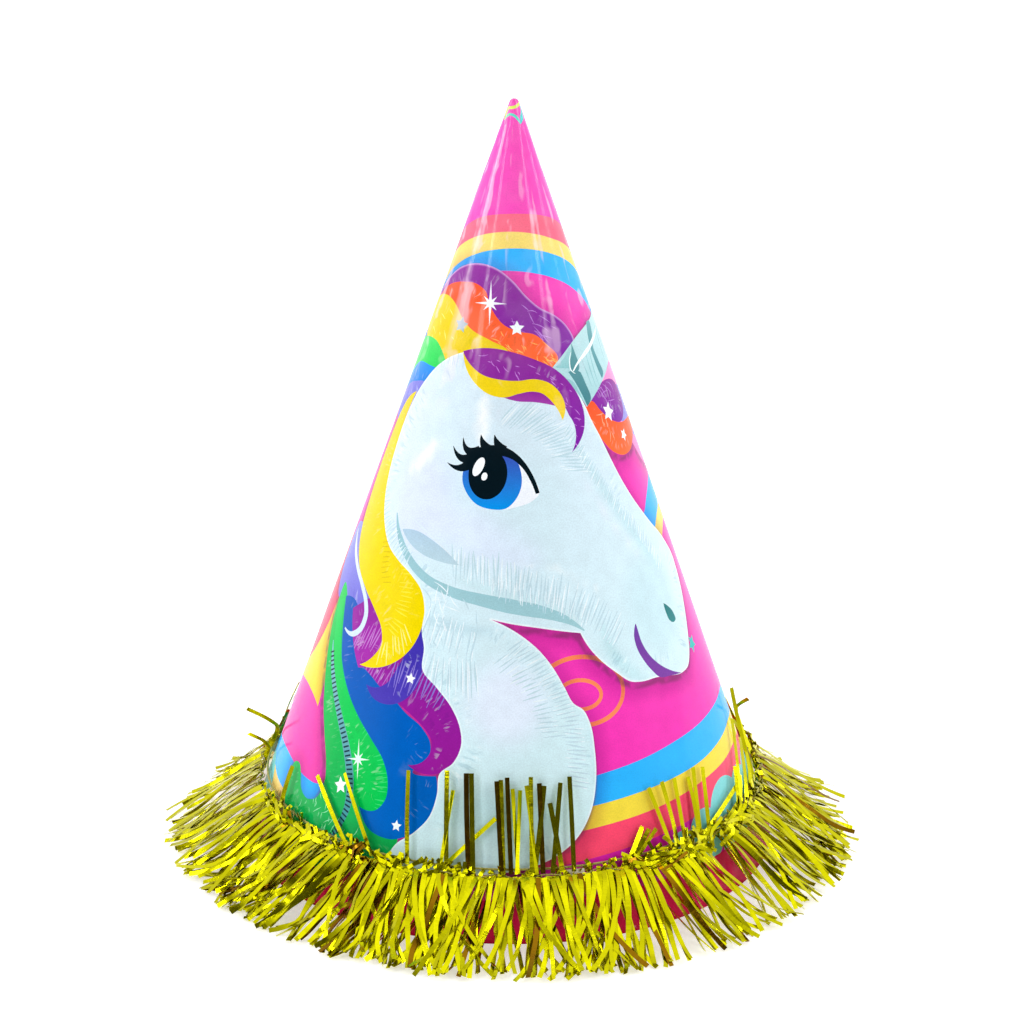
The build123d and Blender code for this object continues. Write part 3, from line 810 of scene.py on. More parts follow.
def print_material():
    """Gloss-laminated print. Attributes of the card mesh carry the drawing: see ink_corners."""
    n = Nodes("gloss_print")
    flat = n.attribute("flat", "Vector")
    edge = n.attribute("edge")
    along = n.attribute("along")
    crinkle = n.attribute("crinkle")
    colour = n.attribute("ink", "Color")
    # foil-like puckers that run in from the outline of the figure, in uneven patches
    course = n.vector(n.times(along, 1.25), n.times(edge, 0.22))
    streaks = n.noise(course, 1.0, 2.0, 0.6)
    patches = n.fade(n.noise(flat, 0.09, 2.0), 0.42, 0.6)
    inside = n.times(n.fade(edge, 0.5, 1.8), n.fade(edge, 3.4, 6.5, 1.0, 0.0))
    pucker = n.times(n.times(inside, patches), crinkle)
    light = n.times(n.fade(streaks, 0.56, 0.66), pucker)
    dark = n.times(n.fade(streaks, 0.46, 0.36), pucker)
    # a fine light rim just inside the outline
    rim = n.times(n.fade(edge, 0.55, 0.1), n.times(n.attribute("rim_share"), 0.7))
    colour = n.mix(rim, colour, n.attribute("rim_ink", "Color"))
    colour = n.mix(n.times(light, 0.38), colour, linear("f2fafc"))
    colour = n.mix(n.times(dark, 0.3), colour, linear("7fb4c4"), "MULTIPLY")
    # printed shadow of the figure on what is behind it
    shadow = n.attribute("shadow")
    colour = n.mix(n.fade(shadow, 0.0, 5.5, 0.55, 0.0), colour, linear("b890c4"), "MULTIPLY")
    colour = n.mix(n.fade(shadow, 0.2, 1.2, 0.6, 0.0), colour, linear("5a3050"))
    # ink mottle and print grain
    mottle = n.fade(n.noise(flat, 0.25, 3.0, 0.6), 0.3, 0.7, 0.97, 1.03)
    grain = n.fade(n.noise(flat, 2.8, 2.0, 0.7), 0.25, 0.75, 0.93, 1.08)
    tone = n.times(mottle, grain)
    colour = n.mix(1.0, colour, n.vector(tone, tone, tone), "MULTIPLY")
    # painted sheen: white is mixed in towards the tip, in cloudy patches, for the film's haze of reflected
    # light there
    slant = n.add("ShaderNodeVectorMath", operation="LENGTH")
    n.put(slant.inputs[0], flat)
    slant = slant.outputs["Value"]
    clouds = n.fade(n.noise(flat, 0.16, 2.0), 0.3, 0.7, 0.35, 1.0)
    painted_tip_sheen = n.times(n.fade(slant, 40, 84, 0.05, 0.0), clouds)
    colour = n.mix(painted_tip_sheen, colour, linear("ffffff"))
    # the film lies in long thin folds down from the tip, and highlight streaks are painted along the folds
    # in a pale pink-white
    direction = n.add("ShaderNodeVectorMath", operation="NORMALIZE")
    n.put(direction.inputs[0], flat)
    sideways = n.add("ShaderNodeSeparateXYZ")
    n.put(sideways.inputs[0], direction.outputs["Vector"])
    sway = n.times(n.noise(flat, 0.07, 2.0), 0.35)
    course = n.vector(n.plus(sideways.outputs["X"], n.times(sway, 0.2)), sway)
    folds = n.noise(course, 11.0, 2.0, 0.6)
    painted_fold_highlight = n.times(n.fade(folds, 0.54, 0.66, 0.0, 0.42), n.fade(slant, *FILM_FOLD_SLANTS, 1.0, 0.0))
    colour = n.mix(painted_fold_highlight, colour, linear("ffe2f6"))
    # waves of the card, print grain, the folds and the puckers
    surface = n.plus(n.noise(flat, 0.22, 2.0), n.times(n.noise(flat, 2.4, 2.0), 0.06))
    surface = n.plus(surface, n.times(folds, n.fade(slant, *FILM_FOLD_SLANTS, 0.4, 0.0)))
    surface = n.plus(surface, n.times(n.math("SUBTRACT", light, dark), 0.05))
    n.bump(surface, 0.4, 0.0004)
    roughness = n.fade(n.noise(flat, 0.5, 3.0), 0.3, 0.7, 0.34, 0.46)
    # the laminated film is the only gloss on it
    return n.finish(
        Base_Color=colour,
        Roughness=roughness,
        Coat_Weight=0.5,
        Coat_Roughness=0.08,
        Coat_IOR=1.36,
        IOR=1.45,
        Specular_IOR_Level=0.0,
    )


def card_material():
    """Uncoated card: the inside of the hat and its cut edges."""
    n = Nodes("plain_card")
    where = n.place()
    fibres = n.noise(where, 900.0, 4.0, 0.65)
    clouds = n.noise(where, 60.0, 3.0)
    colour = n.mix(n.fade(clouds, 0.35, 0.65), linear("f1efe9"), linear("e6e3db"))
    colour = n.mix(n.fade(fibres, 0.55, 0.75, 0.0, 0.35), colour, linear("cfcabf"))
    n.bump(fibres, 0.25, 0.0001)
    return n.finish(Base_Color=colour, Roughness=n.fade(fibres, 0.3, 0.7, 0.78, 0.92))


def foil_material():
    """Yellow-gold metallised film, a little different from strand to strand."""
    n = Nodes("gold_foil")
    tone = n.attribute("tone")
    along = n.attribute("along")
    colour = n.mix(tone, linear("b8b406"), linear("dcd808"))
    colour = n.mix(n.fade(tone, 0.1, 0.04), colour, linear("86600a"))
    where = n.place()
    wear = n.noise(where, 700.0, 3.0, 0.6)
    colour = n.mix(n.fade(wear, 0.5, 0.72, 0.0, 0.14), colour, linear("9d9410"))
    # the tone shifts the creases, so that no two strands have the same
    course = n.vector(n.times(along, 1.1), n.times(tone, 40.0))
    creases = n.noise(course, 1.0, 3.0, 0.6)
    n.bump(n.plus(creases, n.times(wear, 0.1)), 0.22, 0.0002)
    return n.finish(Base_Color=colour, Metallic=1.0, Roughness=n.fade(wear, 0.3, 0.7, 0.14, 0.24))


def thread_material():
    """Twisted pale thread."""
    n = Nodes("twisted_thread")
    where = n.place()
    fuzz = n.noise(where, 2500.0, 3.0, 0.7)
    colour = n.mix(n.fade(fuzz, 0.35, 0.65), linear("a8a040"), linear("8a8228"))
    n.bump(fuzz, 0.6, 0.0001)
    return n.finish(Base_Color=colour, Roughness=0.7, Sheen_Weight=0.3)


def glue_material():
    """Dried hot-melt glue."""
    n = Nodes("dried_glue")
    where = n.place()
    lumps = n.noise(where, 500.0, 2.0)
    colour = n.mix(n.fade(lumps, 0.35, 0.65), linear("efe9d4"), linear("e2d9ba"))
    n.bump(lumps, 0.5, 0.0002)
    return n.finish(Base_Color=colour, Roughness=n.fade(lumps, 0.3, 0.7, 0.3, 0.45))


# ---------------------------------------------------------------------------------------
# Helpers


def mesh_object(name, points, faces, materials):
    """A mesh object in metres from points in millimetres."""
    mesh = bpy.data.meshes.new(name)
    faces = [tuple(int(i) for i in f) for f in faces]
    mesh.from_pydata((np.asarray(points) * MM).tolist(), [], faces)
    for material in materials:
        mesh.materials.append(material)
    piece = bpy.data.objects.new(name, mesh)
    bpy.context.scene.collection.objects.link(piece)
    return piece


def store(mesh, name, kind, domain, values):
    """Put values into a new attribute of a mesh."""
    field = {"FLOAT": "value", "FLOAT_COLOR": "color", "FLOAT_VECTOR": "vector"}[kind]
    data = mesh.attributes.new(name, kind, domain).data
    data.foreach_set(field, np.asarray(values, np.float32).ravel())


def flat_tree(points):
    """A search tree over flat points."""
    tree = KDTree(len(points))
    for i, (x, d) in enumerate(points):
        tree.insert((x, d, 0), i)
    tree.balance()
    return tree


def eased(share):
    """A share from 0 to 1 that starts and stops softly."""
    return share * share * (3 - 2 * share)


# ---------------------------------------------------------------------------------------
# The printed card: one thin sheet, cut round every inked shape and rolled into the cone

LAP_START_BEARING = -186.0  # the outer end of the blank, which shows at the back
BLANK_END_BEARING = 184.0  # the end that the lap covers
FIRST_SLANT = 0.5
GRID_STEP = 1.7
INSIDE_STEP = 4.0
MERGE_DISTANCE, INSIDE_MERGE_DISTANCE = 0.002, 1e-5
LEAST_AREA = 1e-9
SLIT_SLANT, SLIT_LENGTH, SLIT_WIDTH = 177.0, 4.0, 0.5
BLANK_ARC = BLANK_END_BEARING - LAP_START_BEARING
# the layout for baking: the front's half angle, its share of the width, and the print's of the height
FRONT_ANGLE, FRONT_SHARE, PRINT_BAND = 33.0, 0.62, 0.9
FAR = 99.0  # stands in for a distance where there is none
SHADOW_SHIFT = (-0.5, 0.8)  # the printed shadow falls down to the left
TORN_SPREAD = 6.0  # how far along an outline one face's corners can be apart
ALONG_SHIFT = 37.0  # sets the puckers of one shape apart from those of the next


def blank_point(slant, bearing):
    """Point of the flat blank that is rolled to a bearing."""
    return polar(slant, bearing * SIN)


def card_height(slant, bearing):
    """How far the outer face stands off the ideal cone: the lap, and the card's slight unevenness."""
    # the climb over the lap starts earlier near the tip, where an arc is short
    early = 16.0 * np.clip(1 - slant / 70, 0, 1)
    climb = np.clip((-170.0 + early - bearing) / 8.0, 0, 1)
    lap = LAP_HEIGHT * climb * climb * (3 - 2 * climb) * np.clip(slant / 14, 0, 1)
    turn = np.radians(bearing)
    swell = 0.10 * np.sin(3 * turn + slant / 31) + 0.06 * np.sin(7 * turn - slant / 17 + 1)
    ripple = 0.035 * np.sin(13 * turn + slant / 9) * np.sin(slant / 14 + 2)
    body = np.clip(slant / 25, 0, 1) * np.clip((RIM_SLANT + 6 - slant) / 25, 0, 1)
    return lap - 0.06 + (swell + ripple) * body * 0.8


def rolled(flat, depth=0.0):
    """3-D points of flat points, at a depth below the printed face."""
    slant = np.hypot(flat[:, 0], flat[:, 1])
    bearing = np.degrees(np.arctan2(flat[:, 0], flat[:, 1])) / SIN
    height = card_height(slant, bearing) - depth
    turn = np.radians(bearing)
    radius = slant * SIN + height * COS
    level = APEX_HEIGHT - slant * COS + height * SIN
    # the tip is a small dome
    tangent_slant = TIP_ROUNDING / math.tan(HALF_ANGLE)
    dome_share = np.clip(slant / tangent_slant, 0, 1)
    lean = (math.pi / 2 - HALF_ANGLE) * dome_share
    dome_radius = TIP_ROUNDING + height
    on_dome = slant < tangent_slant
    centre = APEX_HEIGHT - TIP_ROUNDING / SIN
    radius = np.where(on_dome, dome_radius * np.sin(lean), radius)
    level = np.where(on_dome, centre + dome_radius * np.cos(lean), level)
    level = np.maximum(level, 0.0)
    return np.stack([radius * np.sin(turn), -radius * np.cos(turn), level], 1)


def rolled_normals(flat):
    """Unit normals of the printed face."""
    slant = np.hypot(flat[:, 0], flat[:, 1])[:, None]
    down = flat / slant
    across = np.stack([down[:, 1], -down[:, 0]], 1)
    reach = 0.05
    along_down = rolled(flat + down * reach) - rolled(flat - down * reach)
    along_across = rolled(flat + across * reach) - rolled(flat - across * reach)
    normal = np.cross(along_down, along_across)
    return normal / np.linalg.norm(normal, axis=1)[:, None]


def inside(points, outline):
    """Which points are inside a closed outline."""
    found = np.zeros(len(points), bool)
    low, high = outline.min(0), outline.max(0)
    boxed = np.nonzero(((points >= low) & (points <= high)).all(1))[0]
    if not len(boxed):
        return found
    x, d = points[boxed].T
    ahead = np.roll(outline, -1, 0)
    odd = np.zeros(len(boxed), bool)
    for (x0, d0), (x1, d1) in zip(outline, ahead):
        if d0 == d1:
            continue
        crosses = (d0 > d) != (d1 > d)
        odd ^= crosses & (x < x0 + (d - d0) * (x1 - x0) / (d1 - d0))
    found[boxed] = odd
    return found


def nearest_on(outline, points):
    """Distance from points to a closed outline, and how far round it the nearest place is."""
    tree = flat_tree(outline)
    steps = np.linalg.norm(np.roll(outline, -1, 0) - outline, axis=1)
    travelled = np.concatenate([[0], np.cumsum(steps)])
    first = np.array([tree.find((x, d, 0))[1] for x, d in points], int)
    best = np.full(len(points), 1e9)
    place = np.zeros(len(points))
    for shift in (-1, 0):
        i = (first + shift) % len(outline)
        a, b = outline[i], outline[(i + 1) % len(outline)]
        span = b - a
        square = np.maximum((span**2).sum(1), 1e-12)
        t = np.clip(((points - a) * span).sum(1) / square, 0, 1)
        distance = np.linalg.norm(points - a - span * t[:, None], axis=1)
        closer = distance < best
        best = np.where(closer, distance, best)
        place = np.where(closer, travelled[i] + t * steps[i], place)
    return best, place


def blank_outline():
    """The cut edge of the blank: two straight ends, the rim, and a small hole at the apex."""
    bearings = np.linspace(LAP_START_BEARING, BLANK_END_BEARING, 300)
    rim = [blank_point(RIM_SLANT, b) for b in bearings]
    hole = [blank_point(FIRST_SLANT, b) for b in bearings[::-30]]
    slants = np.arange(RIM_SLANT - 2, FIRST_SLANT + 1, -2.0)
    far_end = [blank_point(s, BLANK_END_BEARING) for s in slants]
    near_end = [blank_point(s, LAP_START_BEARING) for s in slants[::-1]]
    return np.array(rim + far_end + hole + near_end)


def slit_outlines():
    """The two slits for the elastic."""
    outlines = []
    for bearing in (-90.0, 90.0):
        half_turn = math.degrees(SLIT_LENGTH / 2 / (SLIT_SLANT * SIN))
        top, bottom = SLIT_SLANT - SLIT_WIDTH / 2, SLIT_SLANT + SLIT_WIDTH / 2
        turns = np.linspace(bearing - half_turn, bearing + half_turn, 5)
        upper = [blank_point(top, b) for b in turns]
        lower = [blank_point(bottom, b) for b in turns[::-1]]
        outlines.append(np.array(upper + lower))
    return outlines


def grid(step):
    """Staggered points over the blank, about a step apart."""
    points = []
    slant, row = FIRST_SLANT + step * 0.6, 0
    while slant < RIM_SLANT - step * 0.4:
        arc = math.radians(BLANK_ARC * SIN) * slant
        count = max(6, int(arc / step))
        share = (np.arange(count) + 0.25 + 0.5 * (row % 2)) / count
        points += [blank_point(slant, bearing) for bearing in LAP_START_BEARING + share * BLANK_ARC]
        slant += min(step * 0.87, max(0.7, slant * 0.25))
        row += 1
    return np.array(points)


def triangulate(points, edges, merge_distance):
    """Triangles that respect every edge.

    Gives their points, their corners, their double areas, and each input point's new index.
    """
    points = [Vector(p) for p in points]
    found, _, faces, origins, _, _ = delaunay_2d_cdt(points, edges, [], 0, merge_distance, True)
    index_of = {source: index for index, sources in enumerate(origins) for source in sources}
    flat = np.array([tuple(p) for p in found], float)
    corners = np.array([tuple(f) for f in faces], int)
    a, b, c = flat[corners[:, 0]], flat[corners[:, 1]], flat[corners[:, 2]]
    area = np.cross(b - a, c - a)
    corners[area < 0] = corners[area < 0][:, ::-1]
    return flat, corners, np.abs(area), index_of


def printed_sheet(outlines):
    """Points and triangles of the printed face, cut along every outline."""
    points, edges = [], []
    for outline in outlines:
        first = len(points)
        points += list(outline)
        edges += [(first + i, first + (i + 1) % len(outline)) for i in range(len(outline))]
    flat, corners, area, _ = triangulate(points + list(grid(GRID_STEP)), edges, MERGE_DISTANCE)
    return flat, corners[area > LEAST_AREA]


def sheet_faces(flat, corners, outline, holes):
    """The triangles that are card: inside the blank and outside its slits."""
    middles = flat[corners].mean(1)
    keep = inside(middles, outline)
    for hole in holes:
        keep &= ~inside(middles, hole)
    return corners[keep]


def border_edges(corners):
    """Directed edges that only one triangle has."""
    edges = np.vstack([corners[:, [0, 1]], corners[:, [1, 2]], corners[:, [2, 0]]])
    known = set(map(tuple, edges))
    return [(a, b) for a, b in map(tuple, edges) if (b, a) not in known]


def make_card(materials):
    """The whole card as one closed mesh: printed face, plain inside and cut edges."""
    blank, slits = blank_outline(), slit_outlines()
    background, figure = back_shapes(), figure_shapes()
    shapes = background + figure + crease_shapes() + glint_shapes()
    flat, corners = printed_sheet([blank] + slits + [s.outline for s in shapes])
    corners = sheet_faces(flat, corners, blank, slits)
    used, corners = np.unique(corners, return_inverse=True)
    flat, corners = flat[used], corners.reshape(-1, 3)
    middles = flat[corners].mean(1)
    top = np.full(len(corners), -1)
    for index, shape in enumerate(shapes):
        hit = inside(middles, shape.outline)
        if shape.host:
            hit &= np.isin(top, [i for i in range(index) if shapes[i].ink in shape.host])
        top[hit] = index

    # the plain inside, on the same border
    rim_edges = border_edges(corners)
    border = sorted({i for edge in rim_edges for i in edge})
    place = {index: k for k, index in enumerate(border)}
    inner_edges = [(place[a], place[b]) for a, b in rim_edges]
    inner_points = [flat[i] for i in border] + list(grid(INSIDE_STEP))
    inner_flat, inner_corners, _, inner_of = triangulate(inner_points, inner_edges, INSIDE_MERGE_DISTANCE)
    inner_corners = sheet_faces(inner_flat, inner_corners, blank, slits)

    # x across and d down make a left-handed pair, so a counter-clockwise triangle faces inwards
    count = len(flat)
    outer_faces = corners[:, ::-1]
    inner_faces = inner_corners + count
    wall_faces = [(a, b, count + inner_of[place[b]], count + inner_of[place[a]]) for a, b in rim_edges]
    points = np.vstack([rolled(flat), rolled(inner_flat, CARD_THICKNESS)])
    faces = [tuple(f) for f in outer_faces] + [tuple(f) for f in inner_faces] + wall_faces
    card = mesh_object("printed_card", points, faces, materials)
    mesh = card.data
    plain = np.zeros(len(faces), int)
    plain[len(outer_faces) :] = 1
    mesh.polygons.foreach_set("material_index", plain)
    mesh.polygons.foreach_set("use_smooth", np.arange(len(faces)) < len(outer_faces) + len(inner_faces))
    ink_corners(mesh, flat[outer_faces.reshape(-1)], np.repeat(top, 3), background, figure, shapes)
    both = np.vstack([flat, inner_flat])
    lifted = np.hstack([both, np.zeros((len(both), 1))])
    store(mesh, "flat", "FLOAT_VECTOR", "POINT", lifted)
    corner_vertex = np.zeros(len(mesh.loops), np.int32)
    mesh.loops.foreach_get("vertex_index", corner_vertex)
    outer_end = 3 * len(outer_faces)
    inner_end = outer_end + 3 * len(inner_faces)
    card_uv(mesh, both, count, corner_vertex, inner_end)
    normals = np.array([tuple(c.vector) for c in mesh.corner_normals], float)
    normals[:outer_end] = rolled_normals(flat)[corner_vertex[:outer_end]]
    normals[outer_end:inner_end] = -rolled_normals(inner_flat)[corner_vertex[outer_end:inner_end] - count]
    mesh.normals_split_custom_set([tuple(v) for v in normals])
    return card


def ink_corners(mesh, place, corner_shape, background, figure, shapes):
    """Every corner of a printed face takes the values of the face's topmost shape.

    place is where each of these corners is on the blank, and corner_shape is its shape's index.
    """
    loops, outer_loops = len(mesh.loops), len(place)
    tip_pink, hot_pink = np.array(linear(TIP_PINK)), np.array(linear(HOT_PINK))
    ink = np.tile(hot_pink, (loops, 1))
    # the pink ground is paler towards the tip
    pale_share = np.clip(1.5 - np.linalg.norm(place, axis=1) / 60, 0, 1)[:, None]
    ink[:outer_loops] += (tip_pink - hot_pink) * pale_share
    rim_ink = np.ones((loops, 4))
    values = {name: np.zeros(loops) for name in ("along", "crinkle", "rim_share")}
    values["edge"] = np.full(loops, FAR)
    values["shadow"] = np.full(loops, FAR)
    for index, shape in enumerate(shapes):
        at = np.nonzero(corner_shape == index)[0]
        if not len(at):
            continue
        low, high = shape.outline[:, 1].min(), shape.outline[:, 1].max()
        share = np.clip((place[at, 1] - low) / (high - low), 0, 1)[:, None]
        ink[at] = np.array(linear(shape.ink)) * (1 - share) + np.array(linear(shape.low_ink)) * share
        if shape.crinkle or shape.rim_ink:
            distance, along = nearest_on(shape.outline, place[at])
            values["edge"][at] = distance
            values["along"][at] = along + index * ALONG_SHIFT
            values["crinkle"][at] = shape.crinkle
        if shape.rim_ink:
            values["rim_share"][at] = 1.0
            rim_ink[at] = linear(shape.rim_ink)
    # airbrushed light and shade, on the head and neck only
    pale = [index for index, shape in enumerate(shapes) if shape.ink == FACE]
    on_head = np.nonzero(np.isin(corner_shape, pale))[0]
    for outline, tint, feather, strength in airbrush_marks():
        hit = inside(place[on_head], outline)
        depth = nearest_on(outline, place[on_head][hit])[0]
        share = strength * eased(np.clip(depth / feather, 0, 1)[:, None])
        marked = on_head[hit]
        ink[marked] = ink[marked] * (1 - share) + np.array(linear(tint)) * share
    # a face whose corners are nearest to different stretches of the outline has no puckers
    spread = values["along"][:outer_loops].reshape(-1, 3)
    torn = np.repeat(np.ptp(spread, axis=1) > TORN_SPREAD, 3)
    values["crinkle"][:outer_loops][torn] = 0.0
    # the figure's printed shadow falls on the background only
    behind = np.nonzero(corner_shape < len(background))[0]
    tree = flat_tree(np.vstack([s.outline for s in figure]) + SHADOW_SHIFT)
    for loop in behind:
        values["shadow"][loop] = tree.find((*place[loop], 0))[2]
    for name, column in values.items():
        store(mesh, name, "FLOAT", "CORNER", column)
    for name, column in (("ink", ink), ("rim_ink", rim_ink)):
        store(mesh, name, "FLOAT_COLOR", "CORNER", column)


def card_uv(mesh, both, outer_count, corner_vertex, walls):
    """A layout for baking: slant down, angle across, with more of the width for the front.

    The cut edges' corners, from walls on, share a strip below the rest.
    """
    slant = np.hypot(both[:, 0], both[:, 1]) / (RIM_SLANT + 1)
    angle = np.degrees(np.arctan2(both[:, 0], both[:, 1]))
    knots = (-61.0, -FRONT_ANGLE, FRONT_ANGLE, 61.0)
    shares = (0.005, (1 - FRONT_SHARE) / 2, (1 + FRONT_SHARE) / 2, 0.995)
    across = np.interp(angle, knots, shares)
    print_v = 1 - 0.005 - slant * (PRINT_BAND - 0.01)
    inside_v = (1 - PRINT_BAND) * (0.95 - slant * 0.7)
    layer = mesh.uv_layers.new(name="OFBake")
    v = np.where(np.arange(len(both)) < outer_count, print_v, inside_v)
    uv = np.stack([across[corner_vertex], v[corner_vertex]], 1)
    uv[walls:, 1] = (1 - PRINT_BAND) * 0.12 * (np.arange(len(uv) - walls) % 4 > 1)
    layer.data.foreach_set("uv", uv.astype(np.float32).ravel())


# ---------------------------------------------------------------------------------------
# Fringe


def near(bearing, middle, width):
    """1 at the middle bearing, falling off smoothly to both sides."""
    return math.exp(-(((bearing - middle) / width) ** 2))


def directions(path):
    """Unit directions along a path, at its points."""
    heading = np.gradient(path, axis=0)
    return heading / np.linalg.norm(heading, axis=1)[:, None]


def travel(path):
    """How far along a path each of its points is."""
    steps = np.linalg.norm(np.diff(path, axis=0), axis=1)
    return np.concatenate([[0], np.cumsum(steps)])


def outwards(path):
    """Level unit directions from the hat's axis to the points of a path."""
    outward = path * (1, 1, 0)
    return outward / np.linalg.norm(outward, axis=1)[:, None]


STRAND_WIDTH = 1.05
SHARP_ANGLE = 24  # the shading breaks where two faces meet at more than this
FOIL_THICKNESS = 0.05
TUFT_COUNT = 24
LAYER_PITCHES = (1.2, 1.1, 1.3)
HEADING_SLANT = 171.5
TINSEL_LENGTH = 26.0
STRAND_POINTS, STANDING_POINTS, HEADING_POINTS = 15, 9, 9
HEADING_TRIES = 820  # folded ends tried in the heading; some are left out, most where it is thin
SLACK = 0.985  # a hanging strand reaches a little less far than if it were straight
CLEARANCE, FLOOR_CLEARANCE = 0.12, 0.05


def wall_point(slant, height, bearing):
    """3-D point off the card's outer face."""
    turn = math.radians(bearing)
    radius = slant * SIN + height * COS
    level = APEX_HEIGHT - slant * COS + height * SIN
    return np.array([radius * math.sin(turn), -radius * math.cos(turn), level])


def clear_of_card(path, side, lift):
    """The path moved out of the card and up off the floor, as far as its cross-section needs."""
    path = path.copy()
    for _ in range(2):
        radius = np.hypot(path[:, 0], path[:, 1])
        level = np.clip(path[:, 2], 0, APEX_HEIGHT - 1)
        east, north = path[:, 0] / radius, path[:, 1] / radius
        out = np.stack([east * COS, north * COS, np.full(len(path), SIN)], 1)
        reach = np.abs((side * out).sum(1)) + np.abs((lift * out).sum(1))
        bearing = np.degrees(np.arctan2(path[:, 0], -path[:, 1]))
        bearing = np.where(bearing > 170, bearing - 360, bearing)
        slant = (APEX_HEIGHT - level) / COS
        height = radius * COS - (APEX_HEIGHT - path[:, 2]) * SIN
        short = card_height(slant, bearing) + CLEARANCE + reach - height
        path += out * np.maximum(short, 0)[:, None]
        sag = np.abs(side[:, 2]) + np.abs(lift[:, 2]) + FLOOR_CLEARANCE
        path[:, 2] = np.maximum(path[:, 2], sag)
    return path


class Strands:
    """Gathers foil ribbons into one mesh."""

    def __init__(self):
        self.points, self.faces, self.tones, self.alongs = [], [], [], []

    def ribbon(self, path, facing, width, tone):
        """A thin ribbon along a path. facing is the direction its broad side looks in at each point."""
        path = np.asarray(path, float)
        heading = directions(path)
        side = np.cross(facing, heading)
        side /= np.maximum(np.linalg.norm(side, axis=1), 1e-9)[:, None]
        normal = np.cross(heading, side)
        half = np.broadcast_to(np.asarray(width, float), (len(path),))[:, None] / 2
        lift = normal * FOIL_THICKNESS / 2
        across = side * half
        path = clear_of_card(path, across, lift)
        first = len(self.points)
        rows = [path - across - lift, path + across - lift, path + across + lift, path - across + lift]
        self.points += np.stack(rows, 1).reshape(-1, 3).tolist()
        count = len(path)
        for i in range(count - 1):
            a, b = first + 4 * i, first + 4 * i + 4
            for k in range(4):
                self.faces.append((a + k, a + (k + 1) % 4, b + (k + 1) % 4, b + k))
        self.faces.append((first + 3, first + 2, first + 1, first))
        last = first + 4 * (count - 1)
        self.faces.append((last, last + 1, last + 2, last + 3))
        self.tones += [tone] * (4 * count)
        self.alongs += np.repeat(travel(path), 4).tolist()

    def build(self, name, material):
        piece = mesh_object(name, self.points, self.faces, [material])
        mesh = piece.data
        mesh.polygons.foreach_set("use_smooth", [True] * len(mesh.polygons))
        mesh.set_sharp_from_angle(angle=math.radians(SHARP_ANGLE))
        for label, column in (("tone", self.tones), ("along", self.alongs)):
            store(mesh, label, "FLOAT", "POINT", column)
        return piece


def bezier(points, count):
    """Points along the cubic curve with these four control points."""
    t = np.linspace(0, 1, count)[:, None]
    a, b, c, d = (np.asarray(p, float) for p in points)
    return a * (1 - t) ** 3 + 3 * b * t * (1 - t) ** 2 + 3 * c * t * t * (1 - t) + d * t**3


def turned(vectors, axes, angles):
    """Vectors turned about unit axes, one angle each, in degrees."""
    turn = np.radians(angles)[:, None]
    dot = (axes * vectors).sum(1)[:, None]
    return vectors * np.cos(turn) + np.cross(axes, vectors) * np.sin(turn) + axes * dot * (1 - np.cos(turn))


def wander(rng, count, size, knots=4):
    """Smooth random values along a strand."""
    return np.interp(np.linspace(0, 1, count), np.linspace(0, 1, knots), rng.normal(0, size, knots))


def tinsel_length(bearing):
    """Strands are trimmed a little shorter at the left of the front, and more so behind both sides."""
    short = 1.8 * near(bearing, -45, 30) + 6.5 * near(abs(bearing), 126, 26)
    return TINSEL_LENGTH - short


def strand_tone(rng):
    """Mostly plain gold; a few strands show the brown side of the film."""
    return 0.0 if rng.uniform() < 0.05 else rng.uniform(0.15, 1)


def hanging_strand(rng, strands, bearing, layer, drift):
    """One strand from the heading out to the floor."""
    count = STRAND_POINTS
    length = tinsel_length(bearing) * rng.uniform(0.9, 1.04)
    start_height = 1.0 + 0.7 * layer + rng.uniform(-0.2, 0.3)
    radius0 = (HEADING_SLANT + rng.uniform(-0.8, 1.2)) * SIN + start_height * COS
    level0 = APEX_HEIGHT - HEADING_SLANT * COS + start_height * SIN
    rest_level = 0.25 + abs(rng.normal(0, 0.9)) + 0.5 * layer
    drop = level0 - rest_level
    reach = math.sqrt(max(length**2 - drop**2, 25.0)) * SLACK
    droop = 40 * near(abs(bearing), 130, 34)
    leave = math.radians(rng.uniform(18, 58) - 8 * layer + droop)
    arrive = math.radians(rng.uniform(8, 34))
    first_arm, last_arm = length * 0.34, length * 0.3
    profile = bezier(
        [
            (radius0, level0),
            (radius0 + first_arm * math.cos(leave), level0 - first_arm * math.sin(leave)),
            (radius0 + reach - last_arm * math.cos(arrive), rest_level + last_arm * math.sin(arrive)),
            (radius0 + reach, rest_level),
        ],
        count,
    )
    share = np.linspace(0, 1, count)
    # the strands are most tangled, and swept aside, at the left of the front
    loose = near(bearing, -34, 26)
    swing = drift - 5 * loose + rng.normal(0, 3 + 3.4 * loose)
    turn = np.radians(bearing + swing * share**1.3 + wander(rng, count, 0.25 + 0.5 * loose, 5) * share)
    radius = profile[:, 0]
    level = np.maximum(profile[:, 1] + wander(rng, count, 0.2, 5) * share, 0.2)
    path = np.stack([radius * np.sin(turn), -radius * np.cos(turn), level], 1)
    slope = directions(profile)
    outward = np.stack([np.sin(turn), -np.cos(turn), np.zeros(count)], 1)
    facing = outward * (-slope[:, 1])[:, None] + np.array([0, 0, 1.0]) * slope[:, 0][:, None]
    twist = rng.normal(0, 12) + rng.normal(0, 22) * share + wander(rng, count, 7 + 12 * loose, 5)
    width = STRAND_WIDTH * rng.uniform(0.9, 1.08)
    strands.ribbon(path, turned(facing, directions(path), twist), width, strand_tone(rng))


